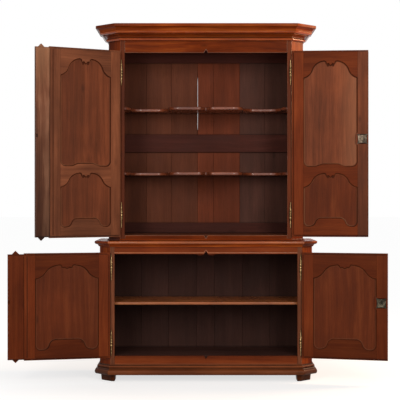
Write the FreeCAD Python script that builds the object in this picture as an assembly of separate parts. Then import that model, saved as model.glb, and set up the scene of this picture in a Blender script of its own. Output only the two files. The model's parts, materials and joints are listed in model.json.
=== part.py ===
import FreeCAD, Part
import math
import os

# A two-stage cupboard with canted corners and four panelled doors, in millimetres.
# +X is right, the front faces -Y and +Z is up. The origin is on the floor, midway between the feet.
# Each door is built shut, as distances out from the middle, and then swung open on its hinge pins.

Vector = FreeCAD.Vector

# Heights, from the floor up
FOOT_HEIGHT = 46.0
LOWER_PLINTH_HEIGHT = 124.0
LOWER_DOORWAY_HEIGHT = 682.0
LOWER_HEAD_HEIGHT = 62.0
LOWER_TOP_THICKNESS = 24.0
UPPER_PLINTH_HEIGHT = 38.0
UPPER_DOORWAY_HEIGHT = 1227.0
FRIEZE_HEIGHT = 163.0
UPPER_TOP_THICKNESS = 24.0

# Plan of the two cases, which share one back plane
LOWER_WIDTH = 1430.0
LOWER_DEPTH = 520.0
LOWER_CANT = 75.0
UPPER_WIDTH = 1320.0
UPPER_DEPTH = 465.0
UPPER_CANT = 84.0

# Boards of the cases
POST_FACE = 28.0
POST_THICKNESS = 28.0
SIDE_THICKNESS = 24.0
FLOOR_THICKNESS = 24.0
BACK_THICKNESS = 16.0
BACK_JOINT = 2.0
BACK_JOINT_SHARES = (-0.66, -0.38, -0.09, 0.09, 0.38, 0.66)
BACK_RAIL_THICKNESS = 18.0
LOW_BACK_RAIL_HEIGHT = 73.0
MIDDLE_BACK_RAIL_LEVEL = 1549.0
MIDDLE_BACK_RAIL_HEIGHT = 124.0
HIGH_BACK_RAIL_HEIGHT = 185.0

# Shaping at the middle of the front rails
RAIL_NOTCH_WIDTH = 26.0
RAIL_NOTCH_DEPTH = 20.0
BOW_WIDTH = 160.0
BOW_DROP = 9.0

# Feet
FOOT_WIDTH = 102.0
FOOT_DEPTH = 104.0
FOOT_INSET = 7.0
FOOT_CANT = 70.0
FOOT_TAPER = 4.0

# Mouldings
BASE_HEIGHT = 69.0
BASE_PROJECTION = 34.0
WAIST_HEIGHT = 38.0
WAIST_PROJECTION = 35.0
RETAINER_HEIGHT = 14.0
RETAINER_PROJECTION = 12.0
CORNICE_HEIGHT = 106.0
CORNICE_PROJECTION = 86.0

# Shelves
SHELF_THICKNESS = 20.0
UPPER_SHELF_SETBACK = 55.0
UPPER_SHELF_WAVE = 205.0
HIGH_SHELF_LEVEL = 1844.0
LOW_SHELF_LEVEL = 1401.0
LOWER_SHELF_SETBACK = 70.0
LOWER_SHELF_LEVEL = 526.0
LEDGER_WIDTH = 22.0
LEDGER_HEIGHT = 30.0

# Doors
DOOR_OVERLAY = 11.0
DOOR_CLEARANCE = 2.5
DOOR_SEAT_GAP = 1.2
LIP_THICKNESS = 15.0
BODY_THICKNESS = 15.0
MEETING_GAP = 2.0
HINGE_STILE_WIDTH = 78.0
FREE_STILE_WIDTH = 72.0
MIDDLE_RAIL_WIDTH = 42.0
UPPER_TOP_RAIL_WIDTH = 70.0
UPPER_BOTTOM_RAIL_WIDTH = 70.0
SHORT_PANEL_HEIGHT = 357.0
LOWER_TOP_RAIL_WIDTH = 78.0
LOWER_BOTTOM_RAIL_WIDTH = 64.0
TALL_CREST_RISE = 112.0
SHORT_CREST_RISE = 92.0
UPPER_LOBE_RISE = 54.0
TALL_FOOT_RISE = 34.0
LOWER_CREST_RISE = 88.0
LOWER_LOBE_RISE = 68.0
PANEL_THICKNESS = 12.0
PANEL_RECESS = 7.0
PANEL_TONGUE = 10.0
FIELD_MARGIN = 34.0
FIELD_FOOT_SHARE = 1.7
FIELD_BEVEL = 7.0
FIELD_RISE = 6.0
UPPER_LEFT_ANGLE = 151.0
UPPER_RIGHT_ANGLE = 175.0
LOWER_LEFT_ANGLE = 167.0
LOWER_RIGHT_ANGLE = 165.5

# Pilaster strip on each left door, with its pointed batten
UPPER_PILASTER_WIDTH = 95.0
LOWER_PILASTER_WIDTH = 105.0
PILASTER_PROUD = 4.0
PILASTER_BACKSET = 6.0
PILASTER_SHORTFALL = 6.0
BATTEN_WIDTH = 48.0
BATTEN_THICKNESS = 14.0
BATTEN_EDGE = 5.0
BATTEN_POINT = 23.0

# Steeple hinges
BEAD_RADIUS = 8.0
BEAD_LENGTH = 18.0
NECK_RADIUS = 4.6
SPIRE_LENGTH = 58.0
SPIRE_TIP_RADIUS = 1.0
PIN_RADIUS = 3.0
PIN_LENGTH = 26.0
PIN_CLEARANCE = 0.05
PIN_END_ROOM = 1.0
HINGE_GAP = 0.5
HINGE_CLEARANCE = 1.0
HINGE_LEAF_THICKNESS = 3.0
HINGE_LEAF_HEIGHT = 36.0
HINGE_LEAF_INSET = 3.0
HINGE_LEAF_DEPTH = 26.0
UPPER_HINGE_INSET = 145.0
LOWER_HINGE_INSET = 101.0

# Locks on the right doors
UPPER_LOCK_LEVEL = 1620.0
LOWER_LOCK_LEVEL = 537.0
LOCK_EDGE = 11.0
LOCK_POCKET_WIDTH = 60.0
LOCK_POCKET_HEIGHT = 64.0
LOCK_POCKET_DEPTH = 20.0
LOCK_BODY_WIDTH = 46.0
LOCK_BODY_HEIGHT = 50.0
LOCK_PLATE_WIDTH = 71.0
LOCK_PLATE_HEIGHT = 69.0
LOCK_PLATE_THICKNESS = 3.0
LOCK_PLATE_HOLLOW = 8.0
LOCK_BOSS_RADIUS = 13.0
LOCK_BOSS_HEIGHT = 4.0
LOCK_PAD_WIDTH = 14.0
LOCK_PAD_HEIGHT = 86.0
BOLT_LENGTH = 44.0
BOLT_HEIGHT = 18.0
BOLT_THICKNESS = 8.0
BOLT_COVER = 6.0
BOLT_RAISE = 10.0
BOLT_CLEARANCE = 0.4
BOLT_THROW = 12.0
BOLT_MORTISE_ROOM = 1.5
KEYHOLE_RADIUS = 4.0
KEYHOLE_SLOT_WIDTH = 4.0
KEYHOLE_SLOT_LENGTH = 13.0
ESCUTCHEON_WIDTH = 34.0
ESCUTCHEON_HEIGHT = 58.0
ESCUTCHEON_THICKNESS = 2.0

OVERRUN = 20.0

# Outlines as shares of their width or projection and of their height.
# Each step is (end,) for a straight run or (through, end) for an arc.
CORNICE_SHARES = (
    ((0.08, 0.0),),
    ((0.18, 0.085), (0.08, 0.17)),
    ((0.10, 0.27),),
    ((0.20, 0.34), (0.42, 0.36)),
    ((0.42, 0.42),),
    ((0.60, 0.45), (0.68, 0.57)),
    ((0.76, 0.73), (0.95, 0.82)),
    ((1.0, 0.82),),
    ((1.0, 1.0),),
)
BASE_SHARES = (
    ((0.80, 0.0),),
    ((1.0, 0.24), (0.80, 0.48)),
    ((0.56, 0.54), (0.40, 0.64)),
    ((0.30, 0.64),),
    ((0.50, 0.77), (0.30, 0.90)),
    ((0.12, 0.90),),
    ((0.12, 1.0),),
)
WAIST_SHARES = (
    ((0.20, 0.0),),
    ((0.34, 0.28), (0.70, 0.45)),
    ((0.84, 0.45),),
    ((0.84, 0.55),),
    ((1.0, 0.77), (0.84, 1.0)),
)
RETAINER_SHARES = (
    ((1.0, 0.0),),
    ((1.0, 0.30),),
    ((0.42, 0.55), (0.15, 1.0)),
)
CREST_SHARES = (
    ((0.84, 0.12), (0.70, 0.40)),
    ((0.52, 0.84), (0.28, 1.0)),
    ((0.165, 0.95), (0.15, 0.80)),
    ((0.075, 0.86),),
    ((0.0, 0.72),),
)
LOBE_SIDE_SHARE = 0.55
LOBE_SHARES = (
    ((0.95, 0.16), (0.76, 0.0)),
    ((0.62, 0.14), (0.54, 0.50)),
    ((0.46, 0.88), (0.34, 1.0)),
    ((0.0, 1.0),),
)
SHALLOW_SIDE_SHARE = 1.0
SHALLOW_SHARES = (
    ((0.93, 0.26), (0.80, 0.0)),
    ((0.62, 0.0),),
    ((0.52, 0.06), (0.42, 0.25)),
    ((0.32, 0.44), (0.22, 0.5)),
    ((0.0, 0.5),),
)
WAVE_MIDDLE_SHARE = 0.34
WAVE_SHARES = (
    ((0.036, 0.14),),
    ((0.052, 0.04), (0.08, 0.0)),
    ((0.30, 0.0),),
    ((0.37, 0.13), (0.405, 0.5)),
    ((0.44, 0.87), (0.51, 1.0)),
    ((0.70, 1.0),),
    ((0.775, 0.87), (0.81, 0.5)),
    ((0.845, 0.13), (0.92, 0.0)),
)
BOW_SHARES = (
    ((0.86, -0.30), (0.70, -0.74)),
    ((0.52, -1.0), (0.34, -0.92)),
    ((0.18, -0.86), (0.0, -0.60)),
    ((0.0, 0.0),),
    ((1.0, 0.0),),
)
LOCK_PAD_SHARES = (
    ((0.70, 0.92), (1.0, 0.82)),
    ((1.0, 0.18),),
    ((0.70, 0.08), (0.0, 0.0)),
    ((0.0, 1.0),),
)
ESCUTCHEON_SHARES = (
    ((0.55, 0.92), (1.0, 0.78)),
    ((0.72, 0.56), (0.95, 0.42)),
    ((0.85, 0.10), (0.0, 0.0)),
)


class Case:
    """One stage of the cupboard: the levels and plan lines that its pieces share."""

    def __init__(self, width, depth, cant, bottom, plinth, doorway_height, head):
        self.half = width / 2
        self.cant = cant
        self.back = LOWER_DEPTH / 2
        self.front = self.back - depth
        self.bottom = bottom
        self.floor = bottom + plinth
        self.lintel = self.floor + doorway_height
        self.top = self.lintel + head
        self.corner = self.half - cant
        self.doorway = self.corner - POST_FACE
        self.inner = self.half - SIDE_THICKNESS
        self.inside_back = self.back - BACK_THICKNESS
        self.rail_back = self.front + POST_THICKNESS
        # The inside of a cant runs parallel to its outside, one post thickness behind it.
        self.cant_shift = self.corner - POST_THICKNESS * math.sqrt(2)
        self.side_front = self.front + self.inner - self.cant_shift

    def cant_inside(self, y):
        """How far out the inside of the canted post is, at this depth."""
        return self.cant_shift + y - self.front

    def outline(self):
        """The outer plan from the back left corner, round the front, to the back right corner."""
        right = [
            (self.corner, self.front),
            (self.half, self.front + self.cant),
            (self.half, self.back),
        ]
        left = [(-x, y) for x, y in reversed(right)]
        return left + right

    def interior(self, front):
        """The plan inside the posts, sides and back, from a straight front edge."""
        right = [
            (self.cant_inside(front), front),
            (self.inner, self.side_front),
            (self.inner, self.inside_back),
        ]
        left = [(-x, y) for x, y in reversed(right)]
        return left + right


LOWER = Case(
    LOWER_WIDTH, LOWER_DEPTH, LOWER_CANT, FOOT_HEIGHT,
    LOWER_PLINTH_HEIGHT, LOWER_DOORWAY_HEIGHT, LOWER_HEAD_HEIGHT,
)
UPPER = Case(
    UPPER_WIDTH, UPPER_DEPTH, UPPER_CANT, LOWER.top + LOWER_TOP_THICKNESS,
    UPPER_PLINTH_HEIGHT, UPPER_DOORWAY_HEIGHT, FRIEZE_HEIGHT,
)


class Door:
    """A door shut in its case: its edges as distances out from the middle, its depths and its pin."""

    def __init__(self, case, side, angle, hinge_inset, pilaster_width):
        self.case = case
        self.side = side
        self.angle = angle
        self.lip_edge = case.doorway + DOOR_OVERLAY
        self.body_edge = case.doorway - DOOR_CLEARANCE
        self.pilaster_half = pilaster_width / 2
        self.free_edge = self.pilaster_half
        if side > 0:
            self.free_edge += MEETING_GAP
        self.lip_bottom = case.floor - DOOR_OVERLAY
        self.lip_top = case.lintel + DOOR_OVERLAY
        self.body_bottom = case.floor + DOOR_CLEARANCE
        self.body_top = case.lintel - DOOR_CLEARANCE
        self.lip_back = case.front - DOOR_SEAT_GAP
        self.lip_front = self.lip_back - LIP_THICKNESS
        self.body_back = self.lip_back + BODY_THICKNESS
        self.panel_out = self.lip_edge - HINGE_STILE_WIDTH
        self.panel_in = self.free_edge + FREE_STILE_WIDTH
        self.lock_middle = self.free_edge + LOCK_EDGE + LOCK_POCKET_WIDTH / 2
        self.pin_out = self.lip_edge + BEAD_RADIUS + HINGE_CLEARANCE
        self.pin_y = self.lip_back - LIP_THICKNESS / 2
        # A hinge parts above its middle bead, and the inset is to that bead's middle.
        low = self.lip_bottom + hinge_inset + BEAD_LENGTH / 2
        high = self.lip_top - hinge_inset + BEAD_LENGTH / 2
        self.hinge_levels = (low, high)

    def block(self, near, far, front, back, bottom, top):
        """A box between two distances out from the middle, on this door's side."""
        low = min(self.side * near, self.side * far)
        corner = Vector(low, front, bottom)
        return Part.makeBox(abs(far - near), back - front, top - bottom, corner)

    def opened(self, shape):
        """The shape as the open door carries it: turned about the pin, away from the case."""
        pin = Vector(self.side * self.pin_out, self.pin_y, 0)
        return shape.rotated(pin, Vector(0, 0, 1), self.side * self.angle)


UPPER_LEFT = Door(UPPER, -1, UPPER_LEFT_ANGLE, UPPER_HINGE_INSET, UPPER_PILASTER_WIDTH)
UPPER_RIGHT = Door(UPPER, 1, UPPER_RIGHT_ANGLE, UPPER_HINGE_INSET, UPPER_PILASTER_WIDTH)
LOWER_LEFT = Door(LOWER, -1, LOWER_LEFT_ANGLE, LOWER_HINGE_INSET, LOWER_PILASTER_WIDTH)
LOWER_RIGHT = Door(LOWER, 1, LOWER_RIGHT_ANGLE, LOWER_HINGE_INSET, LOWER_PILASTER_WIDTH)


# General shapes

def save(name, solids):
    shape = solids[0] if len(solids) == 1 else Part.makeCompound(solids)
    shape.exportStep("parts/" + name + ".step")


def box(x0, x1, y0, y1, z0, z1):
    return Part.makeBox(x1 - x0, y1 - y0, z1 - z0, Vector(x0, y0, z0))


def prism(plan, bottom, top):
    """An upright prism over a plan polygon."""
    corners = [Vector(x, y, bottom) for x, y in plan]
    wire = Part.makePolygon(corners + corners[:1])
    return Part.Face(wire).extrude(Vector(0, 0, top - bottom))


def mirrored(plan):
    return [(-x, y) for x, y in reversed(plan)]


def chain(start, steps, place):
    """Edges from a start point along straight runs and arcs; place turns a pair into a vector."""
    edges = []
    here = start
    for step in steps:
        end = step[-1]
        if len(step) == 1:
            edges.append(Part.makeLine(place(here), place(end)))
        else:
            edges.append(Part.Arc(place(here), place(step[0]), place(end)).toShape())
        here = end
    return edges


def scaled(steps, width, height):
    return [tuple((u * width, w * height) for u, w in step) for step in steps]


def joined_face(edges):
    return Part.Face(Part.Wire(Part.sortEdges(edges)[0]))


# Mouldings

def mitre(before, after):
    """The way a mitred corner moves out for each millimetre of projection."""
    return (before + after) * (1 / (1 + before.dot(after)))


def moulding(path, shares, projection, height, bottom):
    """One mitred length of the profile along each run of a plan path."""
    points = [Vector(x, y, 0) for x, y in path]
    runs = [(b - a).normalize() for a, b in zip(points, points[1:])]
    outs = [Vector(run.y, -run.x, 0) for run in runs]
    mitres = [outs[0]]
    mitres += [mitre(a, b) for a, b in zip(outs, outs[1:])]
    mitres.append(outs[-1])
    steps = scaled(shares, projection, height) + [((0.0, height),), ((0.0, 0.0),)]
    lengths = []
    for index, (run, out) in enumerate(zip(runs, outs)):
        begin, end = points[index], points[index + 1]
        heel = begin - run * (projection + OVERRUN)

        def place(pair):
            return heel + out * pair[0] + Vector(0, 0, bottom + pair[1])

        profile = joined_face(chain((0.0, 0.0), steps, place))
        reach = end - begin + run * 2 * (projection + OVERRUN)
        far_begin = begin + mitres[index] * (projection + OVERRUN)
        far_end = end + mitres[index + 1] * (projection + OVERRUN)
        plan = [(p.x, p.y) for p in (begin, far_begin, far_end, end)]
        cell = prism(plan, bottom - OVERRUN, bottom + height + OVERRUN)
        lengths += profile.extrude(reach).common(cell).Solids
    return lengths


# Pieces of the cases

def corner_posts(case, doors):
    """The two canted posts, each with pockets for its hinge leaves."""
    plan = [
        (case.doorway, case.front),
        (case.corner, case.front),
        (case.half, case.front + case.cant),
        (case.half, case.side_front),
        (case.inner, case.side_front),
        (case.cant_inside(case.rail_back), case.rail_back),
        (case.doorway, case.rail_back),
    ]
    posts = []
    for door, shape in zip(doors, (mirrored(plan), plan)):
        post = prism(shape, case.bottom, case.top)
        for level in door.hinge_levels:
            post = post.cut(case_hinge_leaf(door, level))
        posts.append(post)
    return posts


def sides(case):
    right = box(case.inner, case.half, case.side_front, case.back, case.bottom, case.top)
    left = box(-case.half, -case.inner, case.side_front, case.back, case.bottom, case.top)
    return [left, right]


def front_rail(case, bottom, top):
    return box(-case.doorway, case.doorway, case.front, case.rail_back, bottom, top)


def rail_notch(case, edge, inward):
    """The pointed notch in the middle of a rail's doorway edge; inward is 1 for up and -1 for down."""
    half = RAIL_NOTCH_WIDTH / 2
    mouth = half * (RAIL_NOTCH_DEPTH + OVERRUN) / RAIL_NOTCH_DEPTH
    corners = [
        Vector(-mouth, case.front, edge - inward * OVERRUN),
        Vector(mouth, case.front, edge - inward * OVERRUN),
        Vector(0, case.front, edge + inward * RAIL_NOTCH_DEPTH),
    ]
    wire = Part.makePolygon(corners + corners[:1])
    return Part.Face(wire).extrude(Vector(0, POST_THICKNESS, 0))


def floor_rail(case):
    """The rail under the doorway, notched at its top edge."""
    return front_rail(case, case.bottom, case.floor).cut(rail_notch(case, case.floor, -1))


def head_rail(case):
    """The rail over the doorway, notched at its bottom edge."""
    return front_rail(case, case.lintel, case.top).cut(rail_notch(case, case.lintel, 1))


def bowed_head_rail(case):
    """The head rail with two shallow lobes that hang behind the shut doors, one on each side of the notch."""
    steps = scaled(BOW_SHARES, BOW_WIDTH / 2, BOW_DROP)
    front = case.front + BODY_THICKNESS
    rail = front_rail(case, case.lintel, case.top)
    for side in (-1, 1):

        def place(pair):
            return Vector(side * pair[0], front, case.lintel + pair[1])

        lobe = joined_face(chain((BOW_WIDTH / 2, 0.0), steps, place))
        rail = rail.fuse(lobe.extrude(Vector(0, case.rail_back - front, 0)))
    return rail.removeSplitter().cut(rail_notch(case, case.lintel, 1))


def floor_board(case):
    return prism(case.interior(case.rail_back), case.floor - FLOOR_THICKNESS, case.floor)


def back_boards(case):
    """Upright boards with open joints between them."""
    joints = [share * case.inner for share in BACK_JOINT_SHARES]
    starts = [-case.inner] + [joint + BACK_JOINT / 2 for joint in joints]
    ends = [joint - BACK_JOINT / 2 for joint in joints] + [case.inner]
    return [
        box(x0, x1, case.inside_back, case.back, case.bottom, case.top)
        for x0, x1 in zip(starts, ends)
    ]


def upper_back_rails():
    """Three cross rails on the inside of the upper back boards."""
    middle_top = MIDDLE_BACK_RAIL_LEVEL + MIDDLE_BACK_RAIL_HEIGHT
    spans = (
        (UPPER.floor, UPPER.floor + LOW_BACK_RAIL_HEIGHT),
        (MIDDLE_BACK_RAIL_LEVEL, middle_top),
        (UPPER.top - HIGH_BACK_RAIL_HEIGHT, UPPER.top),
    )
    front = UPPER.inside_back - BACK_RAIL_THICKNESS
    return [
        box(-UPPER.inner, UPPER.inner, front, UPPER.inside_back, bottom, top)
        for bottom, top in spans
    ]


def foot(side, front, cant):
    """A block foot, a little smaller at the floor, with its outer front corner cut off."""
    out = LOWER.half - FOOT_INSET

    def plan(shrink):
        near = out - FOOT_WIDTH + shrink
        far = out - shrink
        y0 = front + shrink
        y1 = front + FOOT_DEPTH - shrink
        corners = [(near, y0), (far - cant, y0)]
        if cant:
            corners.append((far, y0 + cant))
        return corners + [(far, y1), (near, y1)]

    wires = []
    for level, shrink in ((0, FOOT_TAPER), (FOOT_HEIGHT, 0)):
        corners = [Vector(side * x, y, level) for x, y in plan(shrink)]
        wires.append(Part.makePolygon(corners + corners[:1]))
    return Part.makeLoft(wires, True, True)


def feet():
    front = LOWER.front + FOOT_INSET
    rear = LOWER.back - FOOT_INSET - FOOT_DEPTH
    blocks = []
    for side in (-1, 1):
        blocks.append(foot(side, front, FOOT_CANT))
        blocks.append(foot(side, rear, 0))
    return blocks


def wavy_shelf(case, level):
    """A shelf whose front edge bows forward at the ends and on both sides of a notch in the middle."""
    front = case.front + UPPER_SHELF_SETBACK
    bottom = level - SHELF_THICKNESS
    middle = (0.0, WAVE_MIDDLE_SHARE * UPPER_SHELF_WAVE)
    steps = scaled(WAVE_SHARES, case.inner, UPPER_SHELF_WAVE)
    steps += [
        ((case.cant_inside(front), 0.0),),
        ((case.inner, case.side_front - front),),
        ((case.inner, case.inside_back - front),),
        ((0.0, case.inside_back - front),),
    ]
    edges = chain(middle, steps, lambda p: Vector(p[0], front + p[1], bottom))
    edges += chain(middle, steps, lambda p: Vector(-p[0], front + p[1], bottom))
    return joined_face(edges).extrude(Vector(0, 0, SHELF_THICKNESS))


def straight_shelf(case, level):
    plan = case.interior(case.front + LOWER_SHELF_SETBACK)
    return prism(plan, level - SHELF_THICKNESS, level)


def ledgers(case, level):
    """The two battens that carry a shelf, one on each side board."""
    top = level - SHELF_THICKNESS
    near = case.inner - LEDGER_WIDTH
    right = box(near, case.inner, case.side_front, case.inside_back, top - LEDGER_HEIGHT, top)
    left = box(-case.inner, -near, case.side_front, case.inside_back, top - LEDGER_HEIGHT, top)
    return [left, right]


# Hinges

def turned(start, steps, door, level):
    """A turned piece on the hinge pin's axis: a profile of radius and height, spun round."""
    edges = chain(start, steps, lambda p: Vector(p[0], 0, p[1]))
    face = joined_face(edges)
    solid = face.revolve(Vector(0, 0, 0), Vector(0, 0, 1), 360)
    return solid.translated(Vector(door.side * door.pin_out, door.pin_y, level))


def case_hinge_leaf(door, level):
    """The leaf that runs straight back from the pin into the post."""
    near = door.pin_out - HINGE_LEAF_THICKNESS / 2
    far = door.pin_out + HINGE_LEAF_THICKNESS / 2
    front = door.pin_y + PIN_RADIUS
    back = door.case.front + HINGE_LEAF_DEPTH
    top = level - HINGE_LEAF_INSET
    return door.block(near, far, front, back, top - HINGE_LEAF_HEIGHT, top)


def case_hinge_half(door, level):
    """Pin, two beads and the lower spire, with the leaf in the post."""
    neck = NECK_RADIUS
    first = -BEAD_LENGTH
    second = -2 * BEAD_LENGTH
    steps = [
        ((PIN_RADIUS, PIN_LENGTH),),
        ((PIN_RADIUS, 0.0),),
        ((neck, 0.0),),
        ((BEAD_RADIUS, first / 2), (neck, first)),
        ((BEAD_RADIUS, first + first / 2), (neck, second)),
        ((SPIRE_TIP_RADIUS, second - SPIRE_LENGTH),),
        ((0.0, second - SPIRE_LENGTH - SPIRE_TIP_RADIUS),),
        ((0.0, PIN_LENGTH),),
    ]
    return turned((0.0, PIN_LENGTH), steps, door, level).fuse(case_hinge_leaf(door, level))


def door_hinge_leaf(door, level):
    """The leaf that runs from the pin into the edge of the door."""
    bore = PIN_RADIUS + PIN_CLEARANCE
    near = door.lip_edge - HINGE_LEAF_DEPTH
    far = door.pin_out - bore - PIN_END_ROOM
    front = door.pin_y - HINGE_LEAF_THICKNESS / 2
    back = door.pin_y + HINGE_LEAF_THICKNESS / 2
    bottom = level + HINGE_GAP + HINGE_LEAF_INSET
    return door.block(near, far, front, back, bottom, bottom + HINGE_LEAF_HEIGHT)


def door_hinge_half(door, level):
    """One bead and the upper spire, bored for the pin, with the leaf in the door's edge."""
    bore = PIN_RADIUS + PIN_CLEARANCE
    bore_end = PIN_LENGTH + PIN_END_ROOM
    bead_top = HINGE_GAP + BEAD_LENGTH
    tip = bead_top + SPIRE_LENGTH
    spire = [
        ((NECK_RADIUS, HINGE_GAP),),
        ((BEAD_RADIUS, HINGE_GAP + BEAD_LENGTH / 2), (NECK_RADIUS, bead_top)),
        ((SPIRE_TIP_RADIUS, tip),),
        ((0.0, tip + SPIRE_TIP_RADIUS),),
        ((0.0, bore_end),),
        ((bore, bore_end),),
        ((bore, HINGE_GAP),),
    ]
    return turned((bore, HINGE_GAP), spire, door, level).fuse(door_hinge_leaf(door, level))


# Doors

class Panel:
    """A panel's visible outline: its width, levels and the shapes of its two ends."""

    def __init__(self, door, bottom, top, foot_shares, side_share, foot_rise, crest_rise):
        self.middle = door.side * (door.panel_in + door.panel_out) / 2
        self.half = (door.panel_out - door.panel_in) / 2
        self.bottom = bottom
        self.top = top
        self.foot_shares = foot_shares
        self.foot_rise = foot_rise
        self.crest_rise = crest_rise
        self.foot_top = bottom + foot_rise
        self.shoulder = top - crest_rise
        self.side_share = side_share

    def wire(self, y, margin):
        """The outline at a depth, drawn in by a margin all round, and by more at the foot with its steep sides."""
        half = self.half - margin
        low = self.bottom + FIELD_FOOT_SHARE * margin
        shoulder = self.shoulder - margin
        side_bottom = low + self.side_share * self.foot_rise
        foot_steps = scaled(self.foot_shares, half, self.foot_rise)
        crest_steps = scaled(CREST_SHARES, half, self.crest_rise)
        edges = []
        for side in (-1, 1):
            x = self.middle + side * half

            def low_place(pair):
                return Vector(self.middle + side * pair[0], y, low + pair[1])

            def high_place(pair):
                return Vector(self.middle + side * pair[0], y, shoulder + pair[1])

            edges += chain((half, side_bottom - low), foot_steps, low_place)
            edges += chain((half, 0.0), crest_steps, high_place)
            edges.append(Part.makeLine(Vector(x, y, side_bottom), Vector(x, y, shoulder)))
        return Part.Wire(Part.sortEdges(edges)[0])

    def opening(self, front, back):
        return Part.Face(self.wire(front, 0.0)).extrude(Vector(0, back - front, 0))


def upper_panels(door):
    """The tall panel over the short one."""
    low = door.lip_bottom + UPPER_BOTTOM_RAIL_WIDTH
    short_top = low + SHORT_PANEL_HEIGHT
    short = Panel(door, low, short_top, LOBE_SHARES, LOBE_SIDE_SHARE, UPPER_LOBE_RISE, SHORT_CREST_RISE)
    tall = Panel(
        door, short_top + MIDDLE_RAIL_WIDTH, door.lip_top - UPPER_TOP_RAIL_WIDTH,
        SHALLOW_SHARES, SHALLOW_SIDE_SHARE, TALL_FOOT_RISE, TALL_CREST_RISE,
    )
    return [short, tall]


def lower_panels(door):
    low = door.lip_bottom + LOWER_BOTTOM_RAIL_WIDTH
    high = door.lip_top - LOWER_TOP_RAIL_WIDTH
    return [Panel(door, low, high, LOBE_SHARES, LOBE_SIDE_SHARE, LOWER_LOBE_RISE, LOWER_CREST_RISE)]


def panel_board(door, panel):
    """The flat board of a panel, with its tongue in the grooves of the frame."""
    back = door.body_back - PANEL_RECESS
    return door.block(
        door.panel_in - PANEL_TONGUE, door.panel_out + PANEL_TONGUE, back - PANEL_THICKNESS, back,
        panel.bottom - PANEL_TONGUE, panel.top + PANEL_TONGUE,
    )


def panel_solid(door, panel, lock_level=None):
    """The board with a raised field on its front that follows the outline, cut clear of the lock's pocket."""
    face = door.body_back - PANEL_RECESS - PANEL_THICKNESS
    wires = [
        panel.wire(face, FIELD_MARGIN),
        panel.wire(face - FIELD_RISE, FIELD_MARGIN + FIELD_BEVEL),
    ]
    board = panel_board(door, panel).fuse(Part.makeLoft(wires, True, True)).removeSplitter()
    if lock_level is not None:
        board = board.cut(lock_block(door, lock_level, LOCK_POCKET_WIDTH, LOCK_POCKET_HEIGHT))
    return board


def rebated_slab(door, near, lip_far, body_far):
    """A leaf's whole thickness: the lip that laps over the case and the body inside the doorway."""
    lip = door.block(near, lip_far, door.lip_front, door.lip_back, door.lip_bottom, door.lip_top)
    body = door.block(near, body_far, door.lip_back, door.body_back, door.body_bottom, door.body_top)
    return lip.fuse(body).removeSplitter()


def lock_block(door, level, width, height):
    """A block round the middle of the lock, as deep as the pocket that the lock is let into."""
    return door.block(
        door.lock_middle - width / 2, door.lock_middle + width / 2,
        door.body_back - LOCK_POCKET_DEPTH, door.body_back, level - height / 2, level + height / 2,
    )


def lock_pocket(door, level):
    """The pocket that a lock is let into, with the slot for its bolt and the hole for its key."""
    pocket = lock_block(door, level, LOCK_POCKET_WIDTH, LOCK_POCKET_HEIGHT)
    slot = bolt_block(door, level, BOLT_CLEARANCE, LOCK_EDGE + OVERRUN)
    keyhole = Part.makeCylinder(
        KEYHOLE_RADIUS, BODY_THICKNESS + LIP_THICKNESS - LOCK_POCKET_DEPTH + OVERRUN,
        Vector(door.side * door.lock_middle, door.lip_front - OVERRUN, level),
        Vector(0, 1, 0),
    )
    return pocket.fuse(slot).fuse(keyhole)


def lock_pad(door, level):
    """The shaped widening of the lock stile, over the edge of the panel beside the lock."""
    low = level - LOCK_PAD_HEIGHT / 2
    back = door.body_back - PANEL_RECESS
    steps = scaled(LOCK_PAD_SHARES, LOCK_PAD_WIDTH, LOCK_PAD_HEIGHT)

    def place(pair):
        return Vector(door.side * (door.panel_in + pair[0]), back, low + pair[1])

    outline = joined_face(chain((0.0, LOCK_PAD_HEIGHT), steps, place))
    return outline.extrude(Vector(0, PANEL_RECESS, 0))


def door_frame(door, panels, lock_level=None):
    """Stiles and rails, cut from one rebated slab by the panels and the places of the joints."""
    slab = rebated_slab(door, door.free_edge, door.lip_edge, door.body_edge)
    for panel in panels:
        slab = slab.cut(panel.opening(door.lip_front - OVERRUN, door.body_back + OVERRUN))
        slab = slab.cut(panel_board(door, panel))
    for level in door.hinge_levels:
        slab = slab.cut(door_hinge_leaf(door, level))
    if lock_level is not None:
        slab = slab.cut(lock_pocket(door, lock_level))

    def piece(near, far, bottom, top):
        cell = door.block(near, far, door.lip_front, door.body_back, bottom, top)
        return slab.common(cell)

    hinge_stile = piece(door.panel_out, door.lip_edge, door.lip_bottom, door.lip_top)
    free_stile = piece(door.free_edge, door.panel_in, door.lip_bottom, door.lip_top)
    if lock_level is not None:
        free_stile = free_stile.fuse(lock_pad(door, lock_level)).removeSplitter()
    starts = [door.lip_bottom] + [panel.shoulder for panel in panels]
    ends = [panel.foot_top for panel in panels] + [door.lip_top]
    rails = [piece(door.panel_in, door.panel_out, a, b) for a, b in zip(starts, ends)]
    return hinge_stile, free_stile, rails


def pilaster(door, lock_level):
    """The strip on the left door's free edge, notched for the bolt of the right door."""
    half = door.pilaster_half
    back = door.body_back - PILASTER_BACKSET
    low = door.lip_bottom + PILASTER_SHORTFALL
    high = door.lip_top - PILASTER_SHORTFALL
    lip = box(-half, half, door.lip_front - PILASTER_PROUD, door.lip_back, low, high)
    body = box(-half, half, door.lip_back, back, door.body_bottom, door.body_top)
    strip = lip.fuse(body).removeSplitter()
    bolt_level = lock_level + BOLT_RAISE
    reach = BOLT_HEIGHT / 2 + BOLT_MORTISE_ROOM
    bolt_front = door.body_back - BOLT_COVER - BOLT_THICKNESS
    notch = box(
        half - BOLT_THROW, half + OVERRUN, bolt_front - BOLT_MORTISE_ROOM, door.body_back,
        bolt_level - reach, bolt_level + reach,
    )
    return strip.cut(notch)


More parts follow.
